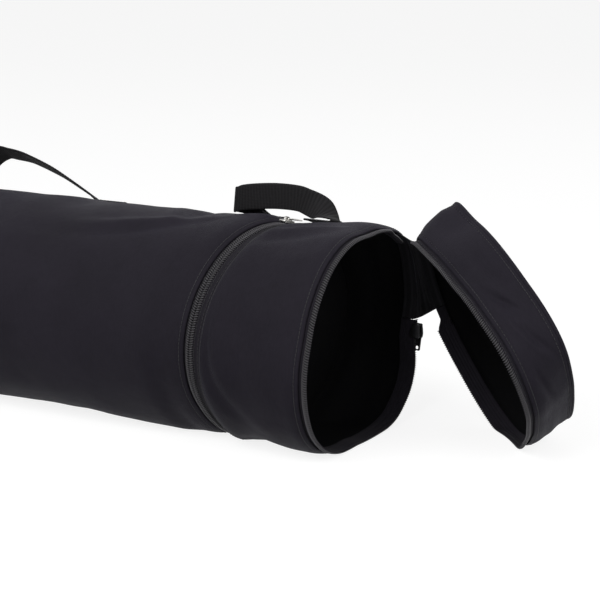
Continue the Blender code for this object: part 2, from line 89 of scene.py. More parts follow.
def outwardOf(place, angle):
    angle = np.asarray(angle, float)
    return place["side"] * np.cos(angle)[..., None] + place["up"] * np.sin(angle)[..., None]


# A smooth closed curve of offsets in metres from a table of degrees and millimetres
def around(table, softness=7.0):
    table = sorted((a % 360.0, v) for a, v in table)
    steps = np.arange(0.0, 360.0, 0.5)
    dense = np.interp(steps, [a for a, v in table], [v for a, v in table], period=360.0)
    reach = np.minimum(steps, 360.0 - steps)
    weight = np.exp(-0.5 * (reach / softness) ** 2)
    weight /= weight.sum()
    dense = np.real(np.fft.ifft(np.fft.fft(dense) * np.fft.fft(weight))) / 1000.0
    return lambda angle: np.interp(np.degrees(angle) % 360.0, steps, dense, period=360.0)


lidOrigin = ring(mouth, 0.0, math.radians(bag["lidHinge"]), bag["lidHingeRadius"])
hingeTurn = math.radians(bag["lidHinge"])
lidTangent = -mouth["side"] * math.sin(hingeTurn) + mouth["up"] * math.cos(hingeTurn)
lidAxis = lidTangent * math.cos(math.radians(bag["lidSkew"])) + mouth["normal"] * math.sin(math.radians(bag["lidSkew"]))
lidAxis /= np.linalg.norm(lidAxis)
lidTurn = np.array(Matrix.Rotation(math.radians(bag["lidOpen"]), 3, Vector(lidAxis)))


def opened(points):
    return lidOrigin + (points - lidOrigin) @ lidTurn.T


def openedDirection(directions):
    return directions @ lidTurn.T


# camera
camera = {"spot": (1.00262, -1.02114, 0.37282), "right": (0.87161, 0.49021, 0.0),
          "up": (-0.11086, 0.19711, 0.97409), "back": (0.47751, -0.84903, 0.22615), "lens": 102.0}


def makeCamera():
    data = bpy.data.cameras.new("camera")
    data.sensor_width = 36.0
    data.lens = camera["lens"]
    data.clip_end = 60.0
    eye = bpy.data.objects.new("camera", data)
    bpy.context.scene.collection.objects.link(eye)
    r, u, b, p = camera["right"], camera["up"], camera["back"], camera["spot"]
    eye.matrix_world = Matrix(((r[0], u[0], b[0], p[0]), (r[1], u[1], b[1], p[1]), (r[2], u[2], b[2], p[2]),
                               (0.0, 0.0, 0.0, 1.0)))
    bpy.context.scene.camera = eye


makeCamera()
print("camera placed")


# shader maths
class Signal:
    def __init__(self, owner, out):
        self.owner, self.out = owner, out

    # Another output of the same node
    def also(self, name): return Signal(self.owner, self.out.node.outputs[name])
    def __add__(self, other): return self.owner.maths("ADD", self, other)
    def __radd__(self, other): return self.owner.maths("ADD", other, self)
    def __sub__(self, other): return self.owner.maths("SUBTRACT", self, other)
    def __rsub__(self, other): return self.owner.maths("SUBTRACT", other, self)
    def __mul__(self, other): return self.owner.maths("MULTIPLY", self, other)
    def __rmul__(self, other): return self.owner.maths("MULTIPLY", other, self)
    def __truediv__(self, other): return self.owner.maths("DIVIDE", self, other)
    def __rtruediv__(self, other): return self.owner.maths("DIVIDE", other, self)
    def __pow__(self, other): return self.owner.maths("POWER", self, other)


class NodeTree:
    def __init__(self, tree):
        self.tree = tree
        tree.nodes.clear()

    # Any node: its type, its settings, then the values or links of its sockets
    def add(self, kind, settings=None, sockets=None, out=0):
        node = self.tree.nodes.new(kind)
        for key, value in (settings or {}).items():
            if key == "stops":
                ramp = node.color_ramp
                while len(ramp.elements) < len(value):
                    ramp.elements.new(0.5)
                for element, (place, color) in zip(ramp.elements, value):
                    element.position, element.color = place, (*color, 1.0)
            else:
                setattr(node, key, value)
        for key, value in (sockets or {}).items():
            self.plug(node.inputs[key], value)
        return Signal(self, node.outputs[out]) if node.outputs else None

    def plug(self, socket, value):
        if isinstance(value, Signal):
            self.tree.links.new(value.out, socket)
        else:
            socket.default_value = value

    def maths(self, operation, *values):
        return self.add("ShaderNodeMath", {"operation": operation}, dict(enumerate(values)))


class Finish(NodeTree):
    def __init__(self, name, **constants):
        self.material = bpy.data.materials.new(name)
        self.material.use_nodes = True
        super().__init__(self.material.node_tree)
        self.shader = self.tree.nodes.new("ShaderNodeBsdfPrincipled")
        self.add("ShaderNodeOutputMaterial", sockets={"Surface": Signal(self, self.shader.outputs[0])})
        for socket, value in constants.items():
            self.shader.inputs[socket.replace("_", " ")].default_value = value

    def wave(self, value, pitch):
        return self.maths("SINE", value * (2 * math.pi / pitch))

    # Kept between none and all
    def held(self, value):
        return self.maths("MINIMUM", self.maths("MAXIMUM", value, 0.0), 1.0)

    def mixColor(self, factor, first, second):
        return self.add("ShaderNodeMix", {"data_type": "RGBA"}, {0: factor, 6: first, 7: second}, out=2)

    def vector(self, operation, *values):
        return self.add("ShaderNodeVectorMath", {"operation": operation}, dict(enumerate(values)))

    def clothPlace(self):
        place = self.add("ShaderNodeUVMap", {"uv_map": "cloth"})
        split = self.add("ShaderNodeSeparateXYZ", sockets={0: place})
        return place, split, split.also("Y")

    def objectPlace(self):
        return self.add("ShaderNodeTexCoord", out=3)

    def mottle(self, place, scale, detail=3.0, roughness=0.55):
        return self.add("ShaderNodeTexNoise", sockets={"Vector": place, "Scale": scale, "Detail": detail,
                                                       "Roughness": roughness})

    def feed(self, socket, value):
        self.plug(self.shader.inputs[socket], value)

    def bump(self, height, distance, strength=1.0):
        normal = self.add("ShaderNodeBump", sockets={"Height": height, "Distance": distance, "Strength": strength})
        self.feed("Normal", normal)


# Plain-weave polyester: threads over and under in both directions, with slubs and faint rubbing, and a painted bluish
# sheen toward the far end
clothLook = {"pitch": 0.00046, "weave": 0.00007, "slub": 260.0, "cloud": 24.0, "gloss": 0.05, "sheenTint": (0.78, 0.80, 1.0),
             "paintedSheenFrom": 0.20, "paintedSheenOver": 0.12, "paintedSheenShift": (0.98, 1.01, 1.16)}


# ribs: spacing of lighter woven stripes across the cloth, or none
def weaveCloth(name, dark, light, roughness=0.60, sheen=0.03, ribs=0.0):
    look = clothLook
    f = Finish(name, Sheen_Weight=sheen, Sheen_Roughness=0.42, Specular_IOR_Level=look["gloss"],
               Sheen_Tint=(*look["sheenTint"], 1.0))
    place, u, v = f.clothPlace()
    threads = f.wave(u, look["pitch"]) * f.wave(v, look["pitch"]) * 0.5 + 0.5
    slubs = f.mottle(f.vector("MULTIPLY", place, (1.0, 0.16, 1.0)), look["slub"] * 4.0, 2.0)
    clouds = f.mottle(f.objectPlace(), look["cloud"], 4.0, 0.6)
    patches = f.mottle(f.objectPlace(), look["cloud"] * 0.4, 3.0, 0.5)
    fleck = threads * 0.26 + slubs * 0.40 + clouds * 0.50 + patches * 0.70 - 0.43
    if ribs:
        fleck = fleck + (f.wave(u, ribs) * 0.5 + 0.5) ** 4.0 * 0.9
    toned = f.mixColor(f.held(fleck), (*dark, 1.0), (*light, 1.0))
    # painted sheen: the colour is tinted bluer toward the far end, standing in for a bluish sheen of light there
    along = f.add("ShaderNodeSeparateXYZ", sockets={0: f.objectPlace()})
    paintedSheenMask = f.held((look["paintedSheenFrom"] - along) / look["paintedSheenOver"])
    f.feed("Base Color", f.mixColor(paintedSheenMask, toned, f.vector("MULTIPLY", toned, look["paintedSheenShift"])))
    f.feed("Roughness", clouds * 0.14 + (roughness - 0.07))
    crumple = f.mottle(f.objectPlace(), look["cloud"] * 4.0, 3.0, 0.5)
    f.bump(threads + slubs * 0.8 + crumple * 5.0 + clouds * 9.0, look["weave"])
    return f.material


clothOuter = weaveCloth("blackPolyester", (0.0086, 0.0076, 0.0106), (0.0238, 0.0209, 0.0292))
clothInner = weaveCloth("innerLining", (0.0022, 0.0022, 0.0026), (0.0056, 0.0055, 0.0062), roughness=0.75, sheen=0.0)
clothHinge = weaveCloth("hingeCloth", (0.0060, 0.0058, 0.0068), (0.0210, 0.0205, 0.0232), roughness=0.66, ribs=0.0052)


# Herringbone zip tape, a little greyer than the cloth
tapeLook = {"pitch": 0.00075, "rib": 0.0022}


def zipTapeCloth():
    f = Finish("zipTapeWeave", Sheen_Weight=0.03, Sheen_Roughness=0.5, Specular_IOR_Level=0.07)
    u, v = f.clothPlace()[1:]
    zigzag = f.maths("PINGPONG", u, tapeLook["rib"])
    twill = f.wave(v + zigzag, tapeLook["pitch"]) * 0.5 + 0.5
    ribs = f.wave(u, tapeLook["rib"]) * 0.5 + 0.5
    dust = f.mottle(f.objectPlace(), 160.0, 3.0)
    f.feed("Base Color", f.mixColor(f.maths("MINIMUM", twill * 0.45 + dust * 0.5, 1.0), (0.0070, 0.0062, 0.0086, 1.0),
                                    (0.0225, 0.0198, 0.0268, 1.0)))
    f.feed("Roughness", dust * 0.12 + 0.66)
    f.bump(twill + ribs * 1.4, 0.00009)
    return f.material


# Satin nylon of the coil's teeth and the sewing thread
def nylon(name, dark, light, roughness, scale):
    f = Finish(name, Specular_IOR_Level=0.34)
    grain = f.mottle(f.objectPlace(), scale, 3.0)
    streak = f.mottle(f.vector("MULTIPLY", f.objectPlace(), (1.0, 1.0, 0.25)), scale * 6.0, 2.0)
    f.feed("Base Color", f.mixColor(f.maths("MINIMUM", grain * 0.6 + streak * 0.4, 1.0), (*dark, 1.0), (*light, 1.0)))
    f.feed("Roughness", streak * 0.16 + (roughness - 0.08))
    f.bump(streak, 0.00003)
    return f.material


# Webbing: lengthwise threads between crosswise ribs, v along the strap
webLook = {"rib": 0.0026, "thread": 0.0011}


def webbingWeave():
    f = Finish("ribbedWebbing", Sheen_Weight=0.04, Sheen_Roughness=0.45, Specular_IOR_Level=0.12)
    place, u, v = f.clothPlace()
    rows = f.wave(v, webLook["rib"]) * 0.5 + 0.5
    threads = f.maths("ABSOLUTE", f.wave(u, 2 * webLook["thread"]))
    fibre = f.mottle(f.vector("MULTIPLY", place, (1.0, 0.2, 1.0)), 1500.0, 2.0)
    clouds = f.mottle(f.objectPlace(), 40.0, 3.0)
    tone = rows * 0.40 + threads * 0.20 + fibre * 0.30 + clouds * 0.25 - 0.08
    f.feed("Base Color", f.mixColor(f.held(tone), (0.0034, 0.0032, 0.0036, 1.0), (0.0165, 0.0156, 0.0172, 1.0)))
    f.feed("Roughness", clouds * 0.12 + 0.62)
    f.bump(threads * 0.8 + fibre * 0.6, 0.00012)
    return f.material


# Slider metal: nickel plate brushed by use, or black lacquer worn thin
def plated(name, dark, light, roughness):
    f = Finish(name, Metallic=1.0)
    marks = f.mottle(f.vector("MULTIPLY", f.objectPlace(), (1.0, 1.0, 6.0)), 420.0, 4.0)
    tone = f.mottle(f.objectPlace(), 130.0, 2.0)
    f.feed("Base Color", f.mixColor(tone, (*dark, 1.0), (*light, 1.0)))
    f.feed("Roughness", marks * 0.20 + roughness)
    f.bump(marks, 0.00003)
    return f.material


tapeCloth = zipTapeCloth()
# the teeth are paler than the black cloth, raised to the brightness of their glints: partly the nylon's own colour,
# partly painted highlight
coilNylonAndPaintedGlint = nylon("coilNylonAndPaintedGlint", (0.032, 0.030, 0.035), (0.076, 0.072, 0.081), 0.38, 300.0)
# the core cord is near-black so the gaps between the teeth read dark: painted shade
cordNylonPaintedShade = nylon("coilCordPaintedShade", (0.0010, 0.0010, 0.0012), (0.0026, 0.0026, 0.0030), 0.85, 300.0)
threadNylon = nylon("sewingThread", (0.012, 0.012, 0.0135), (0.034, 0.034, 0.037), 0.55, 500.0)
webCloth = webbingWeave()
metal = plated("platedMetal", (0.50, 0.49, 0.47), (0.66, 0.65, 0.62), 0.22)
lacquer = plated("blackLacquer", (0.020, 0.020, 0.022), (0.050, 0.050, 0.052), 0.34)
print("finishes made")


# mesh helpers
def linkMesh(name, mesh):
    piece = bpy.data.objects.new(name, mesh)
    bpy.context.scene.collection.objects.link(piece)
    return piece


# Bakes live modifiers into a plain mesh
def settle(piece):
    bpy.context.view_layer.update()
    graph = bpy.context.evaluated_depsgraph_get()
    plain = bpy.data.meshes.new_from_object(piece.evaluated_get(graph))
    old = piece.data
    piece.modifiers.clear()
    piece.data = plain
    bpy.data.meshes.remove(old)
    return piece


# A grid of points (rows, columns, 3) as a sheet with its unrolled place kept as UVs
def gridSheet(name, points, uvs, materials, closed=False, wall=0.0, outward=None, both=False, even=True):
    rows, columns = points.shape[:2]
    span = columns if closed else columns - 1
    faces, corners = [], []
    lastRow = rows if both else rows - 1
    for i in range(lastRow):
        k = (i + 1) % rows
        for j in range(span):
            m = (j + 1) % columns
            faces.append((i * columns + j, i * columns + m, k * columns + m, k * columns + j))
            corners.extend(((i, j), (i, j + 1), (i + 1, j + 1), (i + 1, j)))
    mesh = bpy.data.meshes.new(name)
    mesh.from_pydata(points.reshape(-1, 3).tolist(), [], faces)
    layer = mesh.uv_layers.new(name="cloth")
    layer.data.foreach_set("uv", np.array([uvs[i, j] for i, j in corners], np.float32).ravel())
    mesh.update()
    if outward is not None:
        first = mesh.polygons[len(mesh.polygons) // 2]
        ways = np.asarray(outward).reshape(-1, 3)
        if Vector(ways[first.vertices[0] % len(ways)]).dot(first.normal) < 0.0:
            mesh.flip_normals()
    for material in materials:
        mesh.materials.append(material)
    mesh.shade_smooth()
    piece = linkMesh(name, mesh)
    if wall > 0.0:
        thick = piece.modifiers.new("wall", "SOLIDIFY")
        thick.thickness = wall
        thick.offset = -1.0
        thick.use_even_offset = thick.use_quality_normals = even
        if len(materials) > 1:
            thick.material_offset = 1
            thick.material_offset_rim = 0
        settle(piece)
    return piece


def uvTable(down, across):
    return np.stack(np.meshgrid(down, across, indexing="ij"), -1)


def uvGrid(along, angles, radius):
    angles = np.append(angles, angles[-1] + (angles[1] - angles[0]))
    along = np.append(along, along[-1] + (along[-1] - along[-2]))
    return uvTable(along, angles * radius)


# Small soft unevenness of the cloth, from the piece's own place
def ripple(points, scale, seed):
    flat = points.reshape(-1, 3)
    out = np.array([noise.noise(Vector((p[0] * scale + seed, p[1] * scale, p[2] * scale))) for p in flat])
    return out.reshape(points.shape[:-1])


# Ridges and dents of cloth, laid out on the unrolled tube: place, angle, heading, half length, half width, height
def foldField(x, angle, folds):
    out = np.zeros(np.broadcast(x, angle).shape)
    for fx, fa, heading, reach, width, height in folds:
        across = ((np.degrees(angle) - fa + 180.0) % 360.0 - 180.0) * math.pi / 180.0 * bag["radius"]
        dx = x - fx
        h = math.radians(heading)
        alongFold = dx * math.cos(h) + across * math.sin(h)
        offFold = -dx * math.sin(h) + across * math.cos(h)
        offFold = offFold + 0.12 * alongFold * alongFold / reach
        out += height * np.exp(-((alongFold / reach) ** 2)) * np.exp(-((offFold / width) ** 2))
    return out


# rows of stitches and teeth
rowLook = {"stitchPitch": 0.0030, "stitchLength": 0.0023, "thread": 0.00022, "toothPitch": 0.00172}


# Geometry Nodes: a bent bar laid again and again along a path, at a set turn from it
def rowTree():
    group = bpy.data.node_groups.new("sewnRow", "GeometryNodeTree")
    group.interface.new_socket("Geometry", in_out="INPUT", socket_type="NodeSocketGeometry")
    for name in ("Pitch", "Length", "Thickness", "Rise", "Sink", "Turn", "Wander"):
        group.interface.new_socket(name, in_out="INPUT", socket_type="NodeSocketFloat")
    group.interface.new_socket("Finish", in_out="INPUT", socket_type="NodeSocketMaterial")
    group.interface.new_socket("Geometry", in_out="OUTPUT", socket_type="NodeSocketGeometry")
    t = NodeTree(group)
    given = t.add("NodeGroupInput")
    length, sink, wander = given.also("Length"), given.also("Sink"), given.also("Wander")
    path = t.add("GeometryNodeMeshToCurve", sockets={0: given})
    evenly = t.add("GeometryNodeResampleCurve", {"mode": "LENGTH"}, {"Curve": path, "Length": given.also("Pitch")})
    outward = t.add("GeometryNodeInputNamedAttribute", {"data_type": "FLOAT_VECTOR"}, {"Name": "outward"}, "Attribute")
    axes = t.add("FunctionNodeAxesToRotation", {"primary_axis": "Z", "secondary_axis": "X"},
                 {"Primary Axis": outward, "Secondary Axis": t.add("GeometryNodeInputTangent")})
    chance = t.add("FunctionNodeRandomValue", {"data_type": "FLOAT"}, {2: wander * -1.0, 3: wander, "Seed": 7}, 1)
    spin = t.add("FunctionNodeAxisAngleToRotation", sockets={"Axis": (0.0, 0.0, 1.0), "Angle": given.also("Turn") + chance})
    turned = t.add("FunctionNodeRotateRotation", {"rotation_space": "LOCAL"}, {0: axes, 1: spin})
    # the bar bends from one end over its crest to the other
    first = t.add("ShaderNodeCombineXYZ", sockets={0: length * -0.5, 2: sink})
    crest = t.add("ShaderNodeCombineXYZ", sockets={2: given.also("Rise")})
    last = t.add("ShaderNodeCombineXYZ", sockets={0: length * 0.5, 2: sink})
    bar = t.add("GeometryNodeCurveQuadraticBezier", sockets={"Resolution": 4, "Start": first, "Middle": crest, "End": last})
    section = t.add("GeometryNodeCurvePrimitiveCircle", {"mode": "RADIUS"},
                    {"Resolution": 6, "Radius": given.also("Thickness")})
    solid = t.add("GeometryNodeCurveToMesh", sockets={"Curve": bar, "Profile Curve": section, "Fill Caps": True})
    laid = t.add("GeometryNodeInstanceOnPoints", sockets={"Points": evenly, "Instance": solid, "Rotation": turned})
    real = t.add("GeometryNodeRealizeInstances", sockets={0: laid})
    paint = t.add("GeometryNodeSetMaterial", sockets={"Geometry": real, "Material": given.also("Finish")})
    t.add("NodeGroupOutput", sockets={0: paint})
    return group


sewnRow = rowTree()


# Runs the tree along one or more paths, each a pair of points and outward directions
def layRow(name, paths, finish, pitch, length, thickness, rise, sink, turn=0.0, wander=0.0):
    points, edges, away = [], [], []
    for line, direction in paths:
        base = len(points)
        points.extend(line.tolist())
        away.extend(direction.tolist())
        edges.extend((base + k, base + k + 1) for k in range(len(line) - 1))
    mesh = bpy.data.meshes.new(name)
    mesh.from_pydata(points, edges, [])
    attribute = mesh.attributes.new("outward", "FLOAT_VECTOR", "POINT")
    attribute.data.foreach_set("vector", np.array(away, np.float32).ravel())
    piece = linkMesh(name, mesh)
    modifier = piece.modifiers.new("row", "NODES")
    modifier.node_group = sewnRow
    values = {"Pitch": pitch, "Length": length, "Thickness": thickness, "Rise": rise, "Sink": sink,
              "Turn": math.radians(turn), "Wander": math.radians(wander), "Finish": finish}
    for item in sewnRow.interface.items_tree:
        if item.item_type == "SOCKET" and item.in_out == "INPUT" and item.name in values:
            modifier[item.identifier] = values[item.name]
    settle(piece)
    piece.data.materials.clear()
    piece.data.materials.append(finish)
    piece.data.shade_smooth()
    return piece


def stitchRow(name, paths):
    look = rowLook
    return layRow(name, paths, threadNylon, look["stitchPitch"], look["stitchLength"], look["thread"], 0.00030, -0.00012,
                  wander=2.0)


# cloth tube
mainLook = {"hemU": 0.0046, "wall": 0.0013, "steps": 216, "dropOver": 0.016, "farGap": 0.0037,
            "folds": [
                (0.338, 88, 84, 0.022, 0.0075, -0.0036), (0.322, 94, 62, 0.026, 0.0055, 0.0010),
                (0.315, 112, -15, 0.046, 0.0050, 0.0019), (0.308, 121, -15, 0.048, 0.0060, -0.0016),
                (0.237, 92, 90, 0.021, 0.0190, -0.0022), (0.190, 90, 90, 0.020, 0.0160, -0.0012),
                (0.377, 58, 0, 0.018, 0.0130, -0.0022), (0.245, 60, 0, 0.022, 0.0110, -0.0006),
                (0.300, 232, 0, 0.080, 0.0200, 0.0012), (0.150, 132, 8, 0.070, 0.0090, 0.0014),
                (0.080, 150, -6, 0.080, 0.0110, -0.0013), (0.280, 215, -8, 0.080, 0.0120, 0.0010),
                (-0.060, 120, 6, 0.090, 0.0100, 0.0015), (-0.180, 100, -8, 0.080, 0.0100, -0.0015),
                (-0.280, 160, 12, 0.070, 0.0100, 0.0014), (-0.220, 40, 10, 0.080, 0.0090, 0.0013),
                (0.060, 30, -10, 0.090, 0.0100, -0.0014), (0.250, 350, 14, 0.070, 0.0100, 0.0014),
                (0.000, 320, 0, 0.120, 0.0110, -0.0012)]}
pocketLook = {"startU": 0.0098, "endU": 0.0062, "wall": 0.0013, "length": 0.083, "steps": 216,
              "folds": [(0.4185, 186, 77, 0.036, 0.0048, -0.0027), (0.429, 192, 76, 0.032, 0.0075, 0.0012),
                        (0.443, 176, 66, 0.026, 0.0060, -0.0009), (0.427, 249, 0, 0.017, 0.0200, -0.0050),
                        (0.436, 103, -12, 0.032, 0.0050, 0.0018), (0.438, 112, -12, 0.032, 0.0060, -0.0013),
                        (0.428, 74, 0, 0.018, 0.0120, -0.0019),
                        (0.450, 40, 80, 0.030, 0.0070, -0.0014), (0.445, 330, 80, 0.035, 0.0080, 0.0012)]}

# How far the photographed cloth stands off a plain round tube, degrees and millimetres
middleDrift = around([(0, 0), (30, 0), (60, 0), (78, 0), (95, 0), (118, 0.6), (140, 1.0), (156, 1.6), (180, 2.2),
                      (208, 1.8), (224, 1.2), (238, 3.0), (251, 3.6), (262, 1.5), (270, 0), (320, 1.0), (340, 0.5)], 5.0)
mouthDrift = around([(2, 0.8), (9, 3.0), (24, 3.8), (38, 6.6), (48, 8.4), (54, 6.6), (60, 4.0), (66, 2.2), (76, 0.4),
                     (93, -2.0), (112, 2.2), (130, 3.8), (148, 3.0), (170, 2.0), (189, 5.2), (204, 6.9), (220, 8.4), (234, 7.6),
                     (250, 4.2), (268, 0), (290, 6.0), (308, 15.0), (324, 16.0), (335, 11.0), (342, 4.0), (347, -0.4),
                     (356, -0.4)], 3.0)
mainDrift = around([(75, -0.4), (105, -0.4), (150, 0.4), (200, 1.2), (232, 1.4), (255, -0.8), (270, 0), (300, 1.6),
                    (340, 0.8), (20, 0.4)])


def edgeDrop(distance, setback, drop, over):
    t = np.clip((distance - setback) / over, 0.0, 1.0)
    roll = np.where(distance < setback + 0.0010, ((setback + 0.0010 - distance) / 0.0010) ** 2 * 0.0007, 0.0)
    return drop * (1.0 - t) ** 2.6 + np.maximum(roll, 0.0)


# A stitched seam pulls the cloth in a little, in short puckers
def seamPull(distance, seam, angle, depth=0.00030):
    pucker = 0.6 + 0.4 * np.sin(angle * 97.0) * np.sin(angle * 41.0 + 1.3)
    return depth * pucker * np.exp(-(((distance - seam) / 0.0010) ** 2))


def mainSurface(x, angle, extra=0.0):
    x, angle = np.broadcast_arrays(np.asarray(x, float), np.asarray(angle, float))
    u = x - bag["middleX"]
    near = smooth(0.15, 0.355, x)
    drop = bag["radius"] - (bag["middleTape"] + 0.0003 + mainLook["wall"])
    distance = -u
    radius = bag["radius"] - edgeDrop(distance, mainLook["hemU"], drop, mainLook["dropOver"])
    radius = radius - seamPull(distance, mainLook["hemU"] + 0.0030, angle)
    radius = radius + mainDrift(angle) * smooth(-0.39, -0.30, x) * (1.0 - smooth(0.30, 0.385, x))
    radius = radius + middleDrift(angle) * smooth(0.26, 0.385, x)
    radius = radius + foldField(x, angle, mainLook["folds"]) * (1.0 - smooth(0.380, 0.3945, x)) * smooth(-0.395, -0.36, x)
    radius = radius + extra
    a = ring(level, x, angle, radius)
    b = ring(middle, u, angle, radius, eased=True)
    points = a * (1.0 - near)[..., None] + b * near[..., None]
    return rested(points, bag["floorLift"])


# Cloth that would dip below its resting height levels out softly just above it
def rested(points, low, bend=0.002):
    points = points.copy()
    z = points[..., 2]
    points[..., 2] = np.where(z < low + bend, low + bend * np.exp(np.minimum((z - low - bend) / bend, 0.0)), z)
    return points


def pocketSurface(t, angle, extra=0.0):
    t, angle = np.broadcast_arrays(np.asarray(t, float), np.asarray(angle, float))
    length = pocketLook["length"]
    u, w = t * length, (1.0 - t) * length
    near = smooth(0.22, 0.78, t)
    dropA = bag["radius"] - (bag["middleTape"] + 0.0003 + pocketLook["wall"])
    dropB = bag["radius"] - (bag["mouthTape"] + 0.0003 + pocketLook["wall"])
    x = bag["middleX"] + u
    radius = bag["radius"] - edgeDrop(u, pocketLook["startU"], dropA, 0.012) - edgeDrop(w, pocketLook["endU"], dropB, 0.013)
    radius = radius - seamPull(w, pocketLook["endU"] + 0.0028, angle)
    radius = radius + middleDrift(angle) * (1.0 - near) + mouthDrift(angle) * near
    radius = radius + foldField(x, angle, pocketLook["folds"]) * smooth(0.12, 0.22, t) * (1.0 - smooth(0.70, 0.88, t))
    radius = radius + extra
    a = ring(middle, u, angle, radius, eased=True)
    b = ring(mouth, -w, angle, radius, eased=True)
    return rested(a * (1.0 - near)[..., None] + b * near[..., None], bag["floorLift"])


def makeMainSleeve():
    look = mainLook
    angles = np.linspace(-math.pi / 2, 1.5 * math.pi, look["steps"], endpoint=False)
    end = bag["middleX"] - look["hemU"]
    xs = np.concatenate([np.linspace(bag["farX"] + look["farGap"], 0.10, 74, endpoint=False),
                         np.linspace(0.10, end - 0.024, 84, endpoint=False),
                         np.linspace(end - 0.024, end - 0.002, 22, endpoint=False), np.linspace(end - 0.002, end, 6)])
    x, a = np.meshgrid(xs, angles, indexing="ij")
    base = mainSurface(x, a)
    wrinkle = ripple(base, 13.0, 3.0) * 0.0013 + ripple(base, 34.0, 9.0) * 0.00055 + ripple(base, 80.0, 5.0) * 0.00012
    wrinkle = wrinkle * (1.0 - smooth(end - 0.022, end - 0.008, x))
    points = mainSurface(x, a, wrinkle)
    return gridSheet("mainSleeve", points, uvGrid(xs, angles, bag["radius"]), [clothOuter, clothInner], closed=True,
                     wall=look["wall"], outward=outwardOf(level, a))


def makePocketSleeve():
    look = pocketLook
    angles = np.linspace(-math.pi / 2, 1.5 * math.pi, look["steps"], endpoint=False)
    t0, t1 = look["startU"] / look["length"], 1.0 - look["endU"] / look["length"]
    ts = np.concatenate([np.linspace(t0, t0 + 0.02, 5, endpoint=False),
                         np.linspace(t0 + 0.02, t0 + 0.2, 16, endpoint=False),
                         np.linspace(t0 + 0.2, t1 - 0.2, 24, endpoint=False),
                         np.linspace(t1 - 0.2, t1 - 0.02, 18, endpoint=False), np.linspace(t1 - 0.02, t1, 6)])
    t, a = np.meshgrid(ts, angles, indexing="ij")
    base = pocketSurface(t, a)
    wrinkle = ripple(base, 16.0, 21.0) * 0.0011 + ripple(base, 42.0, 5.0) * 0.00050 + ripple(base, 90.0, 8.0) * 0.00012
    wrinkle = wrinkle * smooth(t0 + 0.05, t0 + 0.2, t) * (1.0 - smooth(t1 - 0.2, t1 - 0.05, t))
    points = pocketSurface(t, a, wrinkle)
    return gridSheet("pocketSleeve", points, uvGrid(ts * look["length"], angles, bag["radius"]), [clothOuter, clothInner],
                     closed=True, wall=look["wall"], outward=outwardOf(middle, a))


mainSleeve = makeMainSleeve()
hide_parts("main_sleeve")
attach(mainSleeve, "main_bag")
pocketSleeve = makePocketSleeve()
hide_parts("pocket_sleeve")
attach(pocketSleeve, "end_pocket")
print("sleeves made")

# lid
lidLook = {"startU": 0.0062, "wall": 0.0013, "steps": 216, "share": 0.90, "cord": 0.0017, "seam": 0.0052,
           "folds": [(0.020, 186, 74, 0.024, 0.0028, -0.0020), (0.026, 196, 66, 0.022, 0.0032, 0.0012),
                     (0.021, 138, 60, 0.018, 0.0026, -0.0022), (0.027, 142, 66, 0.020, 0.0030, 0.0016),
                     (0.019, 156, 74, 0.018, 0.0026, 0.0014), (0.026, 162, 62, 0.018, 0.0026, -0.0020),
                     (0.024, 118, 80, 0.022, 0.0040, -0.0010), (0.025, 57, 0, 0.015, 0.0100, 0.0018),
                     (0.022, 232, 88, 0.020, 0.0045, 0.0012)]}
rimDrift = around([(0, 0), (14, -1.4), (27, -1.8), (36, 3.0), (46, 9.4), (54, 11.0), (60, 5.4), (66, -2.0), (84, -11.0),
                   (107, -16.5), (124, -11.5), (141, -6.5), (159, 6.0), (173, 9.0), (194, 9.0), (207, 2.5), (232, -0.5), (258, 6.5),
                   (274, 12.0), (290, 9.0), (320, 0), (345, 0)], 5.0)
farDrift = around([(0, 0), (26, 2.0), (46, 7.0), (54, 14.0), (61, 20.0), (67, 10.0), (75, -0.5), (96, -6.5), (115, -10.0),
                   (133, -9.0), (149, -2.0), (162, 3.0), (172, 3.0), (187, -4.0), (208, -9.5), (224, -9.0), (246, -3.0),
                   (280, 0), (320, 0)], 4.5)


def lidRadius(u, angle):
    part = smooth(0.0, bag["lidDepth"], u)
    return lidLook["share"] * (rimDrift(angle) * (1.0 - part) + farDrift(angle) * part)


def lidSurface(u, angle, extra=0.0):
    u, angle = np.broadcast_arrays(np.asarray(u, float), np.asarray(angle, float))
    drop = bag["radius"] - (bag["mouthTape"] + 0.0003 + lidLook["wall"])
    radius = bag["radius"] - edgeDrop(u, lidLook["startU"], drop, 0.013) - seamPull(u, lidLook["startU"] + 0.0028, angle)
    end = bag["lidDepth"] - lidLook["seam"]
    radius = radius - seamPull(u, end, angle, 0.0007) + lidRadius(u, angle)
    radius = radius + foldField(u, angle, lidLook["folds"]) * smooth(0.009, 0.014, u) * (1.0 - smooth(end - 0.008, end, u))
    return rested(opened(ring(mouth, u, angle, radius + extra)), bag["floorLift"])


def makeLidWall():
    look = lidLook
    angles = np.linspace(-math.pi / 2, 1.5 * math.pi, look["steps"], endpoint=False)
    us = np.concatenate([np.linspace(look["startU"], look["startU"] + 0.0012, 4, endpoint=False),
                         np.linspace(look["startU"] + 0.0012, bag["lidDepth"] - 0.0030, 46)])
    u, a = np.meshgrid(us, angles, indexing="ij")
    base = lidSurface(u, a)
    wrinkle = (ripple(base, 18.0, 31.0) * 0.0011 + ripple(base, 55.0, 2.0) * 0.00050) * smooth(0.012, 0.018, u) \
        * (1.0 - smooth(0.030, 0.036, u))
    return gridSheet("lidWall", lidSurface(u, a, wrinkle), uvGrid(us, angles, bag["radius"]), [clothOuter, clothInner],
                     closed=True, wall=look["wall"], outward=openedDirection(outwardOf(mouth, a)))


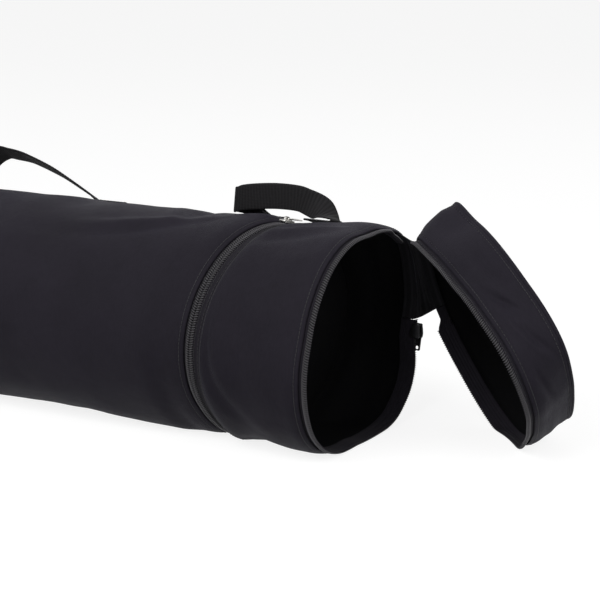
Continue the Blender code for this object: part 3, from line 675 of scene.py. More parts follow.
# A round cord sewn in a cloth sleeve, on a closed path
def cordRing(name, centres, outs, normal, radius):
    turns = np.linspace(0.0, 2 * math.pi, 12, endpoint=False)
    points = centres[:, None, :] + radius * (np.cos(turns)[None, :, None] * outs[:, None, :]
                                             + np.sin(turns)[None, :, None] * normal[None, None, :])
    steps = len(centres)
    away = points - centres[:, None, :]
    uvs = uvTable(np.arange(steps + 1) * 0.0023, np.arange(13) * radius * 0.52)
    return gridSheet(name, points, uvs, [clothOuter], closed=True, outward=away, both=True)


def makeLidPiping():
    angles = np.linspace(0, 2 * math.pi, 216, endpoint=False)
    u = bag["lidDepth"] - lidLook["cord"]
    radius = bag["radius"] - lidLook["cord"] + 0.0003 + lidRadius(np.full_like(angles, bag["lidDepth"]), angles)
    centres = rested(opened(ring(mouth, u, angles, radius)), lidLook["cord"] + bag["floorLift"])
    return cordRing("lidPiping", centres, openedDirection(outwardOf(mouth, angles)), openedDirection(mouth["normal"]),
                    lidLook["cord"])


# A round panel: crowned in the middle, with faint gathers toward its seam
def panel(name, rim, centre, normal, crown, thickness, materials, gather=0.0):
    shares = np.concatenate([np.linspace(0.02, 0.86, 22), np.linspace(0.89, 1.0, 7)])
    angles = np.arange(len(rim)) * 2 * math.pi / len(rim)
    points = centre + (rim - centre)[None] * shares[:, None, None]
    lift = crown * (1.0 - shares ** 2.4)
    waves = gather * np.sin(angles * 31 + 0.7) * np.sin(angles * 13)
    lift = lift[:, None] + waves[None] * (smooth(0.55, 0.92, shares) * (1.0 - smooth(0.97, 1.0, shares)))[:, None]
    soft = ripple(points, 20.0, 14.0) * 0.0011
    lift = lift + soft * (1.0 - smooth(0.8, 1.0, shares))[:, None]
    points = points + lift[..., None] * normal
    rows, columns = points.shape[:2]
    mesh = bpy.data.meshes.new(name)
    flat = points.reshape(-1, 3).tolist() + [(points[0].mean(0)).tolist()]
    faces = [(i * columns + j, i * columns + (j + 1) % columns, (i + 1) * columns + (j + 1) % columns, (i + 1) * columns + j)
             for i in range(rows - 1) for j in range(columns)]
    faces += [(rows * columns, (j + 1) % columns, j) for j in range(columns)]
    mesh.from_pydata(flat, [], faces)
    mesh.update()
    if mesh.polygons[0].normal.dot(Vector(normal)) < 0.0:
        mesh.flip_normals()
    sideWay = (rim[0] - centre) / np.linalg.norm(rim[0] - centre)
    upWay = np.cross(normal, sideWay)
    layer = mesh.uv_layers.new(name="cloth")
    co = np.array([v.co for v in mesh.vertices]) - centre
    flatUv = np.stack([co @ sideWay, co @ upWay], -1)
    index = np.zeros(len(mesh.loops), np.int32)
    mesh.loops.foreach_get("vertex_index", index)
    layer.data.foreach_set("uv", flatUv[index].astype(np.float32).ravel())
    for material in materials:
        mesh.materials.append(material)
    mesh.shade_smooth()
    piece = linkMesh(name, mesh)
    thick = piece.modifiers.new("wall", "SOLIDIFY")
    thick.thickness = thickness
    thick.offset = 0.0
    if len(materials) > 1:
        thick.material_offset = 1
    settle(piece)
    return piece


def makeLidDisc():
    angles = np.linspace(0, 2 * math.pi, 180, endpoint=False)
    u = bag["lidDepth"] - lidLook["cord"]
    radius = bag["radius"] - 2 * lidLook["cord"] + 0.0002 + lidRadius(np.full_like(angles, bag["lidDepth"]), angles)
    rim = opened(ring(mouth, u, angles, radius))
    centre = opened(ring(mouth, u, 0.0, 0.0))
    return panel("lidDisc", rim, centre, openedDirection(mouth["normal"]), 0.0016, 0.0012, [clothOuter, clothInner], 0.0004)


lidWall = makeLidWall()
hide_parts("lid_wall")
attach(lidWall, "lid")
lidPiping = makeLidPiping()
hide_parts("lid_piping")
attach(lidPiping, "lid")
lidDisc = makeLidDisc()
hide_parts("lid_disc")
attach(lidDisc, "lid")
print("lid made")

# far end and pocket base
farLook = {"cord": 0.0017, "board": 0.0025}


def makeFarEnd():
    angles = np.linspace(0, 2 * math.pi, 200, endpoint=False)
    x = bag["farX"] + farLook["cord"]
    low = farLook["cord"] + bag["floorLift"]
    centres = rested(ring(level, x, angles, bag["radius"] - farLook["cord"] + 0.0003), low)
    piping = cordRing("farEndPiping", centres, outwardOf(level, angles), -level["normal"], farLook["cord"])
    rim = rested(ring(level, x, angles, bag["radius"] - 2 * farLook["cord"] + 0.0002), low + farLook["cord"] + 0.0003)
    disc = panel("farEndDisc", rim, ring(level, x, 0.0, 0.0), -level["normal"], 0.0012, 0.0013, [clothOuter, clothInner],
                 0.0004)
    return piping, disc


farPiping, farDisc = makeFarEnd()
for piece, node in ((farPiping, "far_end_piping"), (farDisc, "far_end_disc")):
    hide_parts(node)
    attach(piece, "main_bag")


def makePocketBase():
    angles = np.linspace(0, 2 * math.pi, 160, endpoint=False)
    u = 0.0133 + farLook["board"] / 2
    rim = ring(middle, u, angles, 0.0744)
    return panel("pocketBase", rim, ring(middle, u, 0.0, 0.0), middle["normal"], 0.0008, farLook["board"] * 0.9,
                 [clothInner], 0.0)


pocketBase = makePocketBase()
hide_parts("pocket_base")
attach(pocketBase, "end_pocket")
print("ends made")

# zips
zipLook = {"tapeWall": 0.0007, "seams": (0.0042, 0.0078), "coilSeat": 0.0003, "coilHeight": 0.0017,
           "coilStart": 0.0004, "coilWidth": 0.0029, "mouthCoilWidth": 0.0036, "toothRadius": 0.00033,
           "toothSlant": 20.0}


def liftAt(which, u, angle):
    if which == "middle":
        return middleDrift(angle)
    if which == "mouth":
        # by the slider's far stop the toothed edge leans in to the slider's path, and the sewn edge stays with the hem
        degrees = np.degrees(angle) % 360.0
        lean = np.where(degrees > 50.0, 1.0 - smooth(65.5, 71.0, degrees), 0.0) * (1.0 - smooth(0.0045, 0.0125, np.abs(u)))
        return mouthDrift(angle) * (1.0 - lean)
    return lidRadius(np.abs(u), angle)


def zipPoints(which, u, angle, radius):
    place = middle if which == "middle" else mouth
    u, angle = np.broadcast_arrays(np.asarray(u, float), np.asarray(angle, float))
    points = ring(place, u, angle, radius + liftAt(which, u, angle))
    points = opened(points) if which == "lid" else points
    return rested(points, bag["floorLift"] + 0.0004)


def zipOutward(which, angle):
    place = middle if which == "middle" else mouth
    out = outwardOf(place, angle)
    return openedDirection(out) if which == "lid" else out


def makeZip(tag, which, side, start, turn, nodeTape, nodeCoil, body, coilWidth):
    look = zipLook
    tapeRadius = bag["middleTape"] if which == "middle" else bag["mouthTape"]
    angles = np.radians(np.linspace(start, start + turn, 200))
    # tape, woven edge to woven edge, with a shallow groove beside the coil
    us = side * np.array([0.0009, 0.0014, 0.0020, 0.0030, 0.0036, 0.0042, 0.0052, 0.0064, 0.0076, 0.0088, 0.0100, 0.0112,
                          0.0124, 0.0130])
    u, a = np.meshgrid(us, angles, indexing="ij")
    coilSeam, hemSeam = look["seams"]
    groove = -0.00018 * np.exp(-(((np.abs(u) - coilSeam) / 0.0006) ** 2)) \
        - 0.00015 * np.exp(-(((np.abs(u) - hemSeam) / 0.0006) ** 2))
    points = zipPoints(which, u, a, tapeRadius + groove)
    uvs = uvTable(us, angles * tapeRadius)
    tape = gridSheet(tag + "Tape", points, uvs, [tapeCloth], wall=look["tapeWall"], outward=zipOutward(which, a))
    # coil: a row of bent teeth over a laid-in cord, the cord coloured near-black as painted shade between the teeth
    top = tapeRadius + look["coilSeat"] + look["coilHeight"]
    mid = side * (look["coilStart"] + coilWidth / 2 - 0.0002)
    line = zipPoints(which, mid, angles, top - look["toothRadius"] - 0.00075)
    out = zipOutward(which, angles)
    teeth = layRow(tag + "Teeth", [(line, out)], coilNylonAndPaintedGlint, rowLook["toothPitch"], coilWidth + 0.0005, look["toothRadius"],
                   0.00150, -0.00060, turn=90.0 + look["toothSlant"] * side)
    coreTurn = np.linspace(0, 2 * math.pi, 8, endpoint=False)
    centre = zipPoints(which, mid, angles, tapeRadius + look["coilSeat"] + 0.00045)
    across = (middle if which == "middle" else mouth)["normal"]
    across = openedDirection(across) if which == "lid" else across
    core = centre[None] + np.cos(coreTurn)[:, None, None] * across * (coilWidth * 0.40) \
        + np.sin(coreTurn)[:, None, None] * out[None] * 0.00045
    coreUv = uvTable(np.arange(9) * 0.0003, angles * tapeRadius)
    cord = gridSheet(tag + "Core", core, coreUv, [cordNylonPaintedShade], both=True, outward=core - centre[None])
    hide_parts(nodeTape)
    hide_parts(nodeCoil)
    # the seams that hold the coil and the tape down
    rows = []
    for offset in look["seams"]:
        rows.append((zipPoints(which, side * offset, angles, tapeRadius + 0.00005), out))
    seams = stitchRow(tag + "TapeStitches", rows)
    for piece in (tape, teeth, cord, seams):
        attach(piece, body)


middleStart = bag["middleHinge"] + bag["hingeHalf"]
middleTurn = 360.0 - 2 * bag["hingeHalf"]
mouthStart = bag["lidHinge"] + bag["lidHingeHalf"]
mouthTurn = 360.0 - 2 * bag["lidHingeHalf"]
makeZip("middleMain", "middle", -1, middleStart, middleTurn, "middle_zip_tape_main", "middle_zip_coil_main", "main_bag",
        zipLook["coilWidth"])
makeZip("middlePocket", "middle", 1, middleStart, middleTurn, "middle_zip_tape_pocket", "middle_zip_coil_pocket",
        "end_pocket", zipLook["coilWidth"])
makeZip("mouth", "mouth", -1, mouthStart, mouthTurn, "mouth_zip_tape", "mouth_zip_coil", "end_pocket",
        zipLook["mouthCoilWidth"])
makeZip("lid", "lid", 1, mouthStart, mouthTurn - bag["park"], "lid_zip_tape", "lid_zip_coil", "lid", zipLook["coilWidth"])


# Past the last tooth the tape runs on to the hinge, folded narrow
def makeTapeEnd():
    last = mouthStart + mouthTurn - bag["park"]
    angles = np.radians(np.linspace(last - 1.0, mouthStart + mouthTurn - 0.2, 36))
    us = np.linspace(0.0, 1.0, 8)
    share, a = np.meshgrid(us, angles, indexing="ij")
    low = 0.0010 + 0.0046 * smooth(0.08, 0.55, np.linspace(0.0, 1.0, len(angles)))
    us = 0.0128 * us
    points = zipPoints("lid", low + (0.0128 - low) * share, a, bag["mouthTape"] + 0.0002)
    uvs = uvTable(us, angles * bag["mouthTape"])
    piece = gridSheet("lidTapeEnd", points, uvs, [tapeCloth], wall=0.0006, outward=zipOutward("lid", a))
    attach(piece, "lid")


makeTapeEnd()
print("zips made")


# seams of the cloth tube
def makeSeams():
    angles = np.radians(np.linspace(0.0, 360.0, 240))
    out = outwardOf(middle, angles)
    rows = [(mainSurface(bag["middleX"] - mainLook["hemU"] - 0.0030, angles, 0.00010), out)]
    rows.append((mainSurface(bag["farX"] + 0.0075, angles, 0.00010), outwardOf(level, angles)))
    main = stitchRow("mainSeams", rows)
    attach(main, "main_bag")
    length = pocketLook["length"]
    rows = [(pocketSurface((pocketLook["startU"] + 0.0028) / length, angles, 0.00010), out),
            (pocketSurface(1.0 - (pocketLook["endU"] + 0.0028) / length, angles, 0.00010), outwardOf(mouth, angles))]
    pocket = stitchRow("pocketSeams", rows)
    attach(pocket, "end_pocket")
    out = openedDirection(outwardOf(mouth, angles))
    rows = [(lidSurface(lidLook["startU"] + 0.0028, angles, 0.00010), out),
            (lidSurface(bag["lidDepth"] - lidLook["seam"], angles, 0.00010), out)]
    lid = stitchRow("lidSeams", rows)
    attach(lid, "lid")


makeSeams()
print("seams sewn")

# hinge cloths
hingeLook = {"wall": 0.0007, "foldDepth": 0.0010, "folds": 3.6}


def makeMiddleHinge():
    half = bag["hingeHalf"] - 1.0
    angles = np.radians(np.linspace(bag["middleHinge"] - half, bag["middleHinge"] + half, 60))
    us = np.linspace(-0.0130, 0.0130, 41)
    u, a = np.meshgrid(us, angles, indexing="ij")
    crease = -0.0006 * np.exp(-((u / 0.0022) ** 2)) + 0.0003 * np.sin(a * 55.0) * np.exp(-((u / 0.006) ** 2))
    points = ring(middle, u, a, bag["middleTape"] + crease)
    uvs = uvTable(us, angles * bag["middleTape"])
    piece = gridSheet("middleHingeCloth", points, uvs, [clothHinge], wall=hingeLook["wall"], outward=outwardOf(middle, a))
    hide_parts("middle_hinge_strip")
    hinge = math.radians(bag["middleHinge"])
    start = ring(middle, -0.0040, hinge, bag["middleTape"])
    end = ring(middle, 0.0040, hinge, bag["middleTape"])
    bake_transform(piece)


def makeLidHinge():
    half = bag["lidHingeHalf"] - 0.2
    angles = np.radians(np.linspace(bag["lidHinge"] - half, bag["lidHinge"] + half, 90))
    radius = bag["mouthTape"]
    inner, edge, pull = [ring(mouth, u, angles, radius + mouthDrift(angles)) for u in (-0.0130, -0.0052, -0.0010)]
    lidInner, lidEdge, lidPull = [opened(ring(mouth, u, angles, radius + lidRadius(u, angles)))
                                  for u in (0.0130, 0.0052, 0.0010)]
    ts = np.linspace(0.0, 1.0, 56)
    rows = []
    for t in ts:
        # flat along each tape, and between them a curve that leaves each in its own direction
        if t < 0.25:
            rows.append(inner + (edge - inner) * t * 4)
        elif t > 0.75:
            rows.append(lidEdge + (lidInner - lidEdge) * (t - 0.75) * 4)
        else:
            s = (t - 0.25) * 2
            rows.append(edge * (1 - s) ** 3 + 3 * pull * s * (1 - s) ** 2 + 3 * lidPull * s * s * (1 - s) + lidEdge * s ** 3)
    points = np.array(rows)
    middleOut = outwardOf(mouth, angles) + openedDirection(outwardOf(mouth, angles))
    middleOut /= np.linalg.norm(middleOut, axis=-1)[:, None]
    # folds that run along the hinge, wandering a little from one end to the other
    turns = 2 * math.pi * hingeLook["folds"] * ts[:, None] + 0.9 * np.sin(np.linspace(0.0, 5.0, len(angles)))[None]
    bulge = hingeLook["foldDepth"] * (np.sin(turns) - 0.7 + 0.35 * np.sin(2.1 * turns + 1.0))
    ends = np.minimum(np.arange(len(angles)), np.arange(len(angles))[::-1])
    fade = (smooth(0.22, 0.42, ts) * (1.0 - smooth(0.58, 0.78, ts)))[:, None] * smooth(0.0, 8.0, ends)[None]
    points = points + (fade * bulge)[..., None] * middleOut[None]
    uvs = uvTable(ts * 0.03, angles * radius)
    piece = gridSheet("lidHingeCloth", points, uvs, [clothHinge], wall=hingeLook["wall"],
                      outward=np.broadcast_to(middleOut[None], points.shape), even=False)
    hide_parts("lid_hinge_strip")
    hinge = math.radians(bag["lidHinge"])
    start = ring(mouth, -0.0040, hinge, radius)
    end = opened(ring(mouth, 0.0040, hinge, radius))
    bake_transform(piece)


makeMiddleHinge()
makeLidHinge()
print("hinge cloths made")

# webbing
webbing = {"width": 0.0190, "thickness": 0.0016, "rib": 0.0026, "ribDepth": 0.00022, "foot": 0.0811, "foldLift": 0.0022,
           "handleAngle": 72.0, "backAngle": 60.0, "handleLeft": 0.3558, "handleRight": 0.4440, "handleTail": 0.0220,
           "backFoot": 0.3850, "backTail": 0.0140, "backLift": 0.0002, "footSink": 0.0011, "foldRadius": 0.0013,
           "handleRise": 0.0117, "backReach": 0.0148, "foldLean": 0.10,
           "strapAngle": 60.0, "strapFoot": 0.2302, "strapTail": 0.0280, "strapRise": 0.0322}


def smoothKeys(keys, steps):
    keys = np.array(keys, float)
    out = []
    for i in range(len(keys) - 1):
        p0, p1, p2, p3 = keys[max(i - 1, 0)], keys[i], keys[i + 1], keys[min(i + 2, len(keys) - 1)]
        for s in range(steps):
            t = s / steps
            out.append(0.5 * (2 * p1 + (p2 - p0) * t + (2 * p0 - 5 * p1 + 4 * p2 - p3) * t ** 2
                              + (3 * p1 - p0 - 3 * p2 + p3) * t ** 3))
    out.append(keys[-1])
    return np.array(out)


def tubeSpot(x, radius, degrees):
    a = math.radians(degrees)
    return np.array([x, radius * math.cos(a), bag["axisHeight"] + radius * math.sin(a)])


# A folded foot: the tail lies on the cloth and the strap turns back over it
def foldedFoot(x, inward, tail, degrees, sink):
    a = math.radians(degrees)
    width = np.array([0.0, math.sin(a), -math.cos(a)])
    lift, base = webbing["foldLift"], webbing["foot"] - sink
    nose = lift / 2
    rows = [np.r_[tubeSpot(x + inward * reach, base, degrees), width, 1.0] for reach in (tail, lift)]
    for k in range(1, 6):
        turn = math.pi * k / 6
        spot = tubeSpot(x + inward * (nose - nose * math.sin(turn)), base + nose * (1 - math.cos(turn)), degrees)
        rows.append(np.r_[spot, width, 1.0])
    rows.append(np.r_[tubeSpot(x + inward * lift, base + lift, degrees), width, 1.0])
    return rows


# A flat foot, its tail away from where the strap rises
def flatFoot(x, tailWay, tail, degrees, lift=0.0, sign=1.0):
    a = math.radians(degrees)
    width = np.array([0.0, -math.sin(a), math.cos(a)]) * sign
    return [np.r_[tubeSpot(x + tailWay * tail * share, webbing["foot"] + lift, degrees), width, 1.0]
            for share in (1.0, 0.5, 0.0)]


# The handle stands on edge: from its back foot it rises, folds round and comes to the front
def handleRows():
    w = webbing
    left = flatFoot(w["backFoot"], 1, w["backTail"], w["backAngle"], w["backLift"])
    right = foldedFoot(w["handleRight"], -1, w["handleTail"], w["handleAngle"], w["footSink"])
    a = math.radians(w["handleAngle"])
    footY, footZ = right[-1][1] + w["footSink"] * math.cos(a), right[-1][2] + w["footSink"] * math.sin(a)
    middleX, half = (w["handleLeft"] + w["handleRight"]) / 2, (w["handleRight"] - w["handleLeft"]) / 2

    def key(along, back, rise, lean):
        tilt = lean * math.pi / 2
        return np.array([middleX + half * along, footY + w["backReach"] * back, footZ + w["handleRise"] * rise,
                         0.0, -math.sin(tilt), math.cos(tilt), 0.0])

    behind = [(-0.483, 0.865, -0.444, 0.58), (-0.640, 0.709, 0.043, 0.36), (-0.798, 0.500, 0.350, 0.13),
              (-0.94, 0.385, 0.50, 0.0)]
    front = [(-0.798, 0.182, 0.70, 0.0), (-0.427, 0.155, 0.90, 0.0), (-0.085, 0.142, 1.0, 0.0), (0.258, 0.155, 0.966, 0.0),
             (0.438, 0.169, 0.78, -0.06), (0.663, 0.128, 0.50, -0.39), (0.820, 0.050, 0.215, -0.83)]
    back = smoothKeys([left[-1]] + [key(*row) for row in behind], 8)
    turnSpot = back[-1][:3] - np.array([0.0, w["foldRadius"], 0.0])
    fold = []
    for k in range(1, 12):
        turn = math.pi * k / 12
        fold.append(np.r_[turnSpot + np.array([-math.sin(turn), math.cos(turn), 0.0]) * w["foldRadius"], back[-1][3:]])
    start = np.r_[turnSpot - np.array([0.0, w["foldRadius"], 0.0]), back[-1][3:]]
    ahead = smoothKeys([start] + [key(*row) for row in front] + [right[-1]], 8)
    return np.vstack([np.array(left)[:-1], back, np.array(fold), ahead[:-1], np.array(right)[::-1]])


# The shoulder strap runs on edge over the top and droops behind the bag
def strapRows():
    w = webbing
    left = flatFoot(-w["strapFoot"], -1, w["strapTail"], w["strapAngle"], sign=-1.0)
    right = flatFoot(w["strapFoot"], 1, w["strapTail"], w["strapAngle"], sign=-1.0)
    footY, footZ, flat = left[-1][1], left[-1][2], left[-1][3:6]
    shares = [(0.983, 0.0, 0.02, 0.0), (0.955, 0.0, 0.14, -0.02), (0.885, 0.0, 0.394, -0.05), (0.823, 0.0, 0.606, -0.07),
              (0.768, 0.0, 0.755, -0.08), (0.718, 0.0, 0.870, -0.08), (0.678, 0.0, 0.945, -0.09), (0.623, 0.005, 0.99, -0.12),
              (0.566, 0.025, 0.99, -0.14), (0.472, 0.137, 0.66, -0.16), (0.348, 0.318, -0.115, -0.30),
              (0.205, 0.453, -1.078, -0.57), (0.082, 0.497, -1.615, -0.80), (0.0, 0.500, -1.730, -0.84)]

    def key(sign, along, back, rise, turn):
        direction = flat * (1 - abs(turn)) + np.array([0.0, 0.0, 1.0]) * turn
        return np.r_[sign * w["strapFoot"] * along, footY + bag["radius"] * back, footZ + w["strapRise"] * rise,
                     direction / np.linalg.norm(direction), 0.0]

    keys = [left[-1]] + [key(-1, *row) for row in shares] + [key(1, *row) for row in shares[-2::-1]] + [right[-1]]
    return np.vstack([np.array(left)[:-1], smoothKeys(keys, 8), np.array(right)[:-1][::-1]])


# Webbing as a ribbon of rounded section, ribbed crosswise, with its length kept along v
def makeWebbing(name, rows, step, node, sink):
    w = webbing
    spots, widths = rows[:, :3], rows[:, 3:6]
    lengths = np.r_[0.0, np.cumsum(np.linalg.norm(np.diff(spots, axis=0), axis=1))]
    along = np.arange(0.0, lengths[-1], step)
    spots = np.stack([np.interp(along, lengths, spots[:, k]) for k in range(3)], -1)
    widths = np.stack([np.interp(along, lengths, widths[:, k]) for k in range(3)], -1)
    lies = np.clip(np.interp(along, lengths, rows[:, 6]), 0.0, 1.0)
    inward = np.stack([np.zeros_like(along), -spots[:, 1], bag["axisHeight"] - spots[:, 2]], -1)
    inward /= np.linalg.norm(inward, axis=1)[:, None]
    tangent = np.gradient(spots, axis=0)
    tangent /= np.linalg.norm(tangent, axis=1)[:, None]
    # the band stays square to its run, apart from where the handle folds upright
    square = smooth(w["handleLeft"], w["handleLeft"] + 0.030, spots[:, 0]) if node == "carry_handle" else np.ones_like(along)
    widths = widths - tangent * (square * (widths * tangent).sum(1))[:, None]
    widths[:, 0] += w["foldLean"] * (1.0 - square) * (1.0 - lies)
    widths /= np.linalg.norm(widths, axis=1)[:, None]
    faceWay = np.cross(tangent, widths)
    half, thin = w["width"] / 2, w["thickness"] / 2
    across = [-1.0, -0.97, -0.86, -0.62, -0.3, 0.0, 0.3, 0.62, 0.86, 0.97, 1.0]
    section = [(s, 1.0 if abs(s) < 0.9 else (0.75 if abs(s) < 0.99 else 0.35)) for s in across]
    section += [(s, -h) for s, h in reversed(section)]
    ribs = (0.5 - 0.5 * np.cos(2 * math.pi * along / w["rib"])) ** 0.7
    points = []
    for s, h in section:
        inside = 1.0 if abs(s) < 0.9 else 0.3
        depth = (thin - w["ribDepth"] * inside * (1.0 - ribs)) * h
        # a foot lies down round the tube and presses a little into the cloth
        fall = lies * (math.hypot(w["foot"], s * half) - w["foot"] + sink)
        points.append(spots + widths * (s * half) + faceWay * depth[:, None] + inward * fall[:, None])
    points = np.array(points).transpose(1, 0, 2)
    away = points - spots[:, None]
    columns = len(section)
    place = np.array([s * half for s, h in section] + [section[0][0] * half])
    uvs = np.stack(np.meshgrid(place, np.r_[along, along[-1] + step], indexing="xy"), -1)
    piece = gridSheet(name, points, uvs, [webCloth], closed=True, outward=away)
    bm = bmesh.new()
    bm.from_mesh(piece.data)
    bmesh.ops.holes_fill(bm, edges=[e for e in bm.edges if e.is_boundary], sides=0)
    bm.to_mesh(piece.data)
    bm.free()
    piece.data.shade_smooth()
    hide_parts(node)
    return piece, along[-1]


handle, handleLength = makeWebbing("carryHandle", handleRows(), 0.00043, "carry_handle", 0.0)
strap, strapLength = makeWebbing("shoulderStrap", strapRows(), 0.00065, "shoulder_strap", 0.0009)
print("webbing lengths", round(handleLength, 4), round(strapLength, 4))
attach(strap, "main_bag")


# Box stitching that holds a webbing foot down, on its outer face
def footStitches(name, x, inward, tail, degrees, layers, body):
    a = math.radians(degrees)
    out = np.array([0.0, math.cos(a), math.sin(a)])
    wide = np.array([0.0, -math.sin(a), math.cos(a)])
    base = np.array([0.0, 0.0, bag["axisHeight"]]) + out * (webbing["foot"] + layers + webbing["thickness"] / 2)
    curve = 0.5 / webbing["foot"]
    low, high, side = 0.0028, tail - 0.0028, webbing["width"] / 2 - 0.0022
    corners = [(low, -side), (high, -side), (high, side), (low, side), (low, -side), (high, side)]
    rows = []
    for first, last in zip(corners, corners[1:]):
        ts = np.linspace(0.0, 1.0, 8)[:, None]
        line = np.array([[x + inward * first[0], 0, 0]]) * (1 - ts) + np.array([[x + inward * last[0], 0, 0]]) * ts
        place = first[1] * (1 - ts) + last[1] * ts
        line = line + base + wide * place - out * (curve * place * place)
        rows.append((line, np.broadcast_to(out, line.shape).copy()))
    piece = stitchRow(name, rows)
    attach(piece, body)


w = webbing
footStitches("strapStitchesRight", w["strapFoot"], 1, w["strapTail"], w["strapAngle"], -0.0009, "main_bag")
footStitches("strapStitchesLeft", -w["strapFoot"], -1, w["strapTail"], w["strapAngle"], -0.0009, "main_bag")
footStitches("handleStitchesBack", w["backFoot"], 1, w["backTail"], w["backAngle"], w["backLift"], "main_bag")
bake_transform(handle)
print("webbing made")

# sliders and pulls
sliderLook = {"length": 0.0104, "wide": 0.0042, "narrow": 0.0030, "plate": 0.0012, "clear": 0.0005, "rise": 0.0020,
              "bar": 0.0007, "span": 0.0034, "pullLength": 0.0160, "pullHalf": 0.0025, "pullThick": 0.0010}


# A flat solid from its outline and any windows, its triangles merged where it has none
def outlineSolid(name, loops, low, high, place, finish, bevel, sharp=38.0):
    bm = bmesh.new()
    edges = []
    for loop in loops:
        verts = [bm.verts.new((px, low, pz)) for px, pz in loop]
        edges += [bm.edges.new((verts[k], verts[(k + 1) % len(verts)])) for k in range(len(verts))]
    bmesh.ops.triangle_fill(bm, edges=edges, use_beauty=True)
    lifted = bmesh.ops.extrude_face_region(bm, geom=list(bm.faces))
    moved = [item for item in lifted["geom"] if isinstance(item, bmesh.types.BMVert)]
    bmesh.ops.translate(bm, vec=(0.0, high - low, 0.0), verts=moved)
    bmesh.ops.recalc_face_normals(bm, faces=bm.faces)
    if len(loops) == 1:
        bmesh.ops.dissolve_limit(bm, angle_limit=0.02, verts=bm.verts, edges=bm.edges)
    bm.transform(place)
    mesh = bpy.data.meshes.new(name)
    bm.to_mesh(mesh)
    bm.free()
    mesh.materials.append(finish)
    piece = linkMesh(name, mesh)
    if bevel:
        soften = piece.modifiers.new("soften", "BEVEL")
        soften.width = bevel
        soften.segments = 2
        soften.limit_method = "ANGLE"
        soften.angle_limit = math.radians(sharp)
        settle(piece)
    return crisped(piece)


def crisped(piece):
    piece.data.shade_smooth()
    piece.data.set_sharp_from_angle(angle=math.radians(40.0))
    return piece


def roundedRect(half, low, high, corner, steps=4):
    points = []
    for cx, cz, start in ((half - corner, high - corner, 0), (-half + corner, high - corner, 90),
                          (-half + corner, low + corner, 180), (half - corner, low + corner, 270)):
        for k in range(steps + 1):
            a = math.radians(start + 90 * k / steps)
            points.append((cx + corner * math.cos(a), cz + corner * math.sin(a)))
    return points


def joinPieces(name, pieces, finish):
    base = bmesh.new()
    for piece in pieces:
        base.from_mesh(piece.data)
        data = piece.data
        bpy.data.objects.remove(piece, do_unlink=True)
        bpy.data.meshes.remove(data)
    mesh = bpy.data.meshes.new(name)
    base.to_mesh(mesh)
    base.free()
    mesh.materials.append(finish)
    return linkMesh(name, mesh)


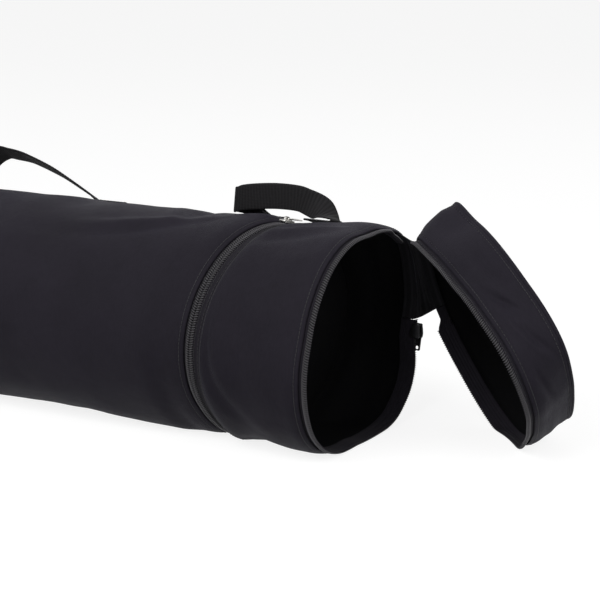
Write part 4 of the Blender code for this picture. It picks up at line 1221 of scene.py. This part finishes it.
# Slider in its own frame: X across the zip, Y outward, Z along it
def makeSlider(tag, place, tapeRadius, degrees, sliderNode, pullNode, sliderBody, pullBody, finish):
    s = sliderLook
    overBase = tapeRadius + zipLook["coilSeat"] + zipLook["coilHeight"] + s["clear"]
    overTop = overBase + s["plate"]
    underTop = tapeRadius - zipLook["tapeWall"] - s["clear"] - 0.0003
    basis = Matrix(((place["normal"][0], place["side"][0], place["up"][0], place["centre"][0]),
                    (place["normal"][1], place["side"][1], place["up"][1], place["centre"][1]),
                    (place["normal"][2], place["side"][2], place["up"][2], place["centre"][2]), (0, 0, 0, 1)))
    spot = basis @ Matrix.Rotation(math.radians(degrees), 4, "X")
    half = s["length"] / 2
    shape = []
    for k in range(9):
        t = k / 8
        width = s["wide"] + (s["narrow"] - s["wide"]) * float(smooth(0.25, 0.9, t)) - 0.0004 * abs(2 * t - 1) ** 6
        shape.append((width, -half + s["length"] * t))
    outline = shape + [(-x, z) for x, z in reversed(shape)]
    parts = [outlineSolid(tag + "Top", [outline], overBase, overTop, spot, finish, 0.00035),
             outlineSolid(tag + "Under", [outline], underTop - s["plate"], underTop, spot, finish, 0.00035)]
    # lips down the sides, as insets from the plate's side and from its ends
    flange = [(s["wide"] - inset, z) for inset, z in
              ((0.0002, -half + 0.0022), (0.0002, half - 0.0040), (0.0011, half - 0.0012), (0.0018, half - 0.0012),
               (0.0010, half - 0.0042), (0.0008, -half + 0.0022))]
    for sign in (1, -1):
        lip = [(sign * x, z) for x, z in flange]
        parts.append(outlineSolid(tag + "Lip", [lip], overBase - 0.0006, overBase + 0.0003, spot, finish, 0.00015))
    blade = roundedRect(0.0004, -half + 0.0003, -half + 0.0033, 0.0002, 2)
    parts.append(outlineSolid(tag + "Blade", [blade], underTop - 0.0003, overBase + 0.0003, spot, finish, 0.0))
    # bridge: a flat bar bent over in an arch
    bend = []
    for k in range(13):
        a = math.pi * k / 12
        bend.append((-(s["span"] / 2 + 0.0003) * math.cos(a), overTop - 0.0003 + (s["rise"] + s["bar"] * 0.5 + 0.0003)
                     * math.sin(a) ** 0.55))
    bridge = []
    for i, (z, y) in enumerate(bend):
        before, after = bend[max(i - 1, 0)], bend[min(i + 1, 12)]
        dz, dy = after[0] - before[0], after[1] - before[1]
        size = math.hypot(dz, dy)
        nz, ny = -dy / size, dz / size
        bridge.append([spot @ Vector((x, y + ny * h, z + nz * h)) for x, h in
                       ((-0.0009, -0.0003), (0.0009, -0.0003), (0.0009, 0.0003), (-0.0009, 0.0003))])
    grid = np.array(bridge)
    parts.append(gridSheet(tag + "Arch", grid, np.zeros((14, 5, 2)), [finish], closed=True,
                           outward=grid - grid.mean(1)[:, None]))
    body = crisped(joinPieces(tag + "Slider", parts, finish))
    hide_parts(sliderNode)
    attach(body, sliderBody)
    # pull: a rounded tab with a window, hung on the bridge
    pin = spot @ Matrix.Translation((0.0, overTop + s["rise"] / 2, 0.0))
    t = s["pullThick"] / 2
    tabOutline = []
    for px, pz in roundedRect(s["pullHalf"], -s["pullLength"] + t, t, 0.0011, 5):
        waist = 1.0 - 0.20 * math.exp(-(((pz + 0.0075) / 0.0030) ** 2))
        tabOutline.append((px * waist, pz))
    window = roundedRect(0.0013, -t - 0.0048, -t, 0.0006, 3)
    eyelet = roundedRect(0.0011, -s["pullLength"] + 0.0014, -s["pullLength"] + 0.0040, 0.0010, 4)
    tab = outlineSolid(tag + "Pull", [tabOutline, window, eyelet], -t, t, pin, finish, 0.00018, 50.0)
    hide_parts(pullNode)
    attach(tab, pullBody)


makeSlider("middle", middle, bag["middleTape"], 78.5, "middle_zip_slider", "middle_zip_pull", "middle_slider",
           "middle_pull", metal)
makeSlider("end", mouth, bag["mouthTape"], 353.0, "end_zip_slider", "end_zip_pull", "end_slider", "end_pull", lacquer)
print("sliders made")

# floor and light
studio = {"key": 33.0, "fill": 15.0, "rim": 2.5, "world": 0.27, "floorGlow": 0.84, "floorColor": 0.28}


# What is seen straight, mirrored or through glass
def seenShare(t):
    rays = t.add("ShaderNodeLightPath")
    direct = t.maths("MAXIMUM", rays.also("Is Camera Ray"), rays.also("Is Glossy Ray"))
    return t.maths("MAXIMUM", direct, rays.also("Is Transmission Ray"))


def paleSurface(name, glow, color):
    material = bpy.data.materials.new(name)
    material.use_nodes = True
    t = NodeTree(material.node_tree)
    diffuse = t.add("ShaderNodeBsdfDiffuse", sockets={"Color": (color, color, color, 1.0)})
    emit = t.add("ShaderNodeEmission", sockets={"Strength": seenShare(t) * glow})
    both = t.add("ShaderNodeAddShader", sockets={0: diffuse, 1: emit})
    t.add("ShaderNodeOutputMaterial", sockets={"Surface": both})
    return material


def makeStage():
    mesh = bpy.data.meshes.new("floor")
    mesh.from_pydata([(-12, -12, 0), (12, -12, 0), (12, 12, 0), (-12, 12, 0)], [], [(0, 1, 2, 3)])
    mesh.materials.append(paleSurface("paleFloor", studio["floorGlow"], studio["floorColor"]))
    floor = linkMesh("floor", mesh)
    world = bpy.data.worlds.new("studio")
    bpy.context.scene.world = world
    world.use_nodes = True
    t = NodeTree(world.node_tree)
    soft, seen = [t.add("ShaderNodeBackground", sockets={"Color": (1.0, 1.0, 1.0, 1.0), "Strength": strength})
                  for strength in (studio["world"], 1.0)]
    mix = t.add("ShaderNodeMixShader", sockets={0: seenShare(t), 1: soft, 2: seen})
    t.add("ShaderNodeOutputWorld", sockets={"Surface": mix})


def softBox(name, spot, aim, size, power):
    data = bpy.data.lights.new(name, "AREA")
    data.shape = "RECTANGLE"
    data.size, data.size_y = size
    data.energy = power
    lamp = bpy.data.objects.new(name, data)
    bpy.context.scene.collection.objects.link(lamp)
    lamp.location = spot
    lamp.rotation_euler = (Vector(aim) - Vector(spot)).to_track_quat("-Z", "Y").to_euler()


makeStage()
softBox("keyLight", (0.1, -1.75, 1.5), (0.25, 0.0, 0.08), (1.6, 1.2), studio["key"])
softBox("fillLight", (1.9, -0.7, 1.1), (0.45, 0.0, 0.08), (1.2, 1.2), studio["fill"])
softBox("rimLight", (0.2, 1.4, 1.6), (0.25, 0.0, 0.1), (1.6, 0.8), studio["rim"])
bpy.context.scene.view_settings.view_transform = "Standard"
print("studio set")
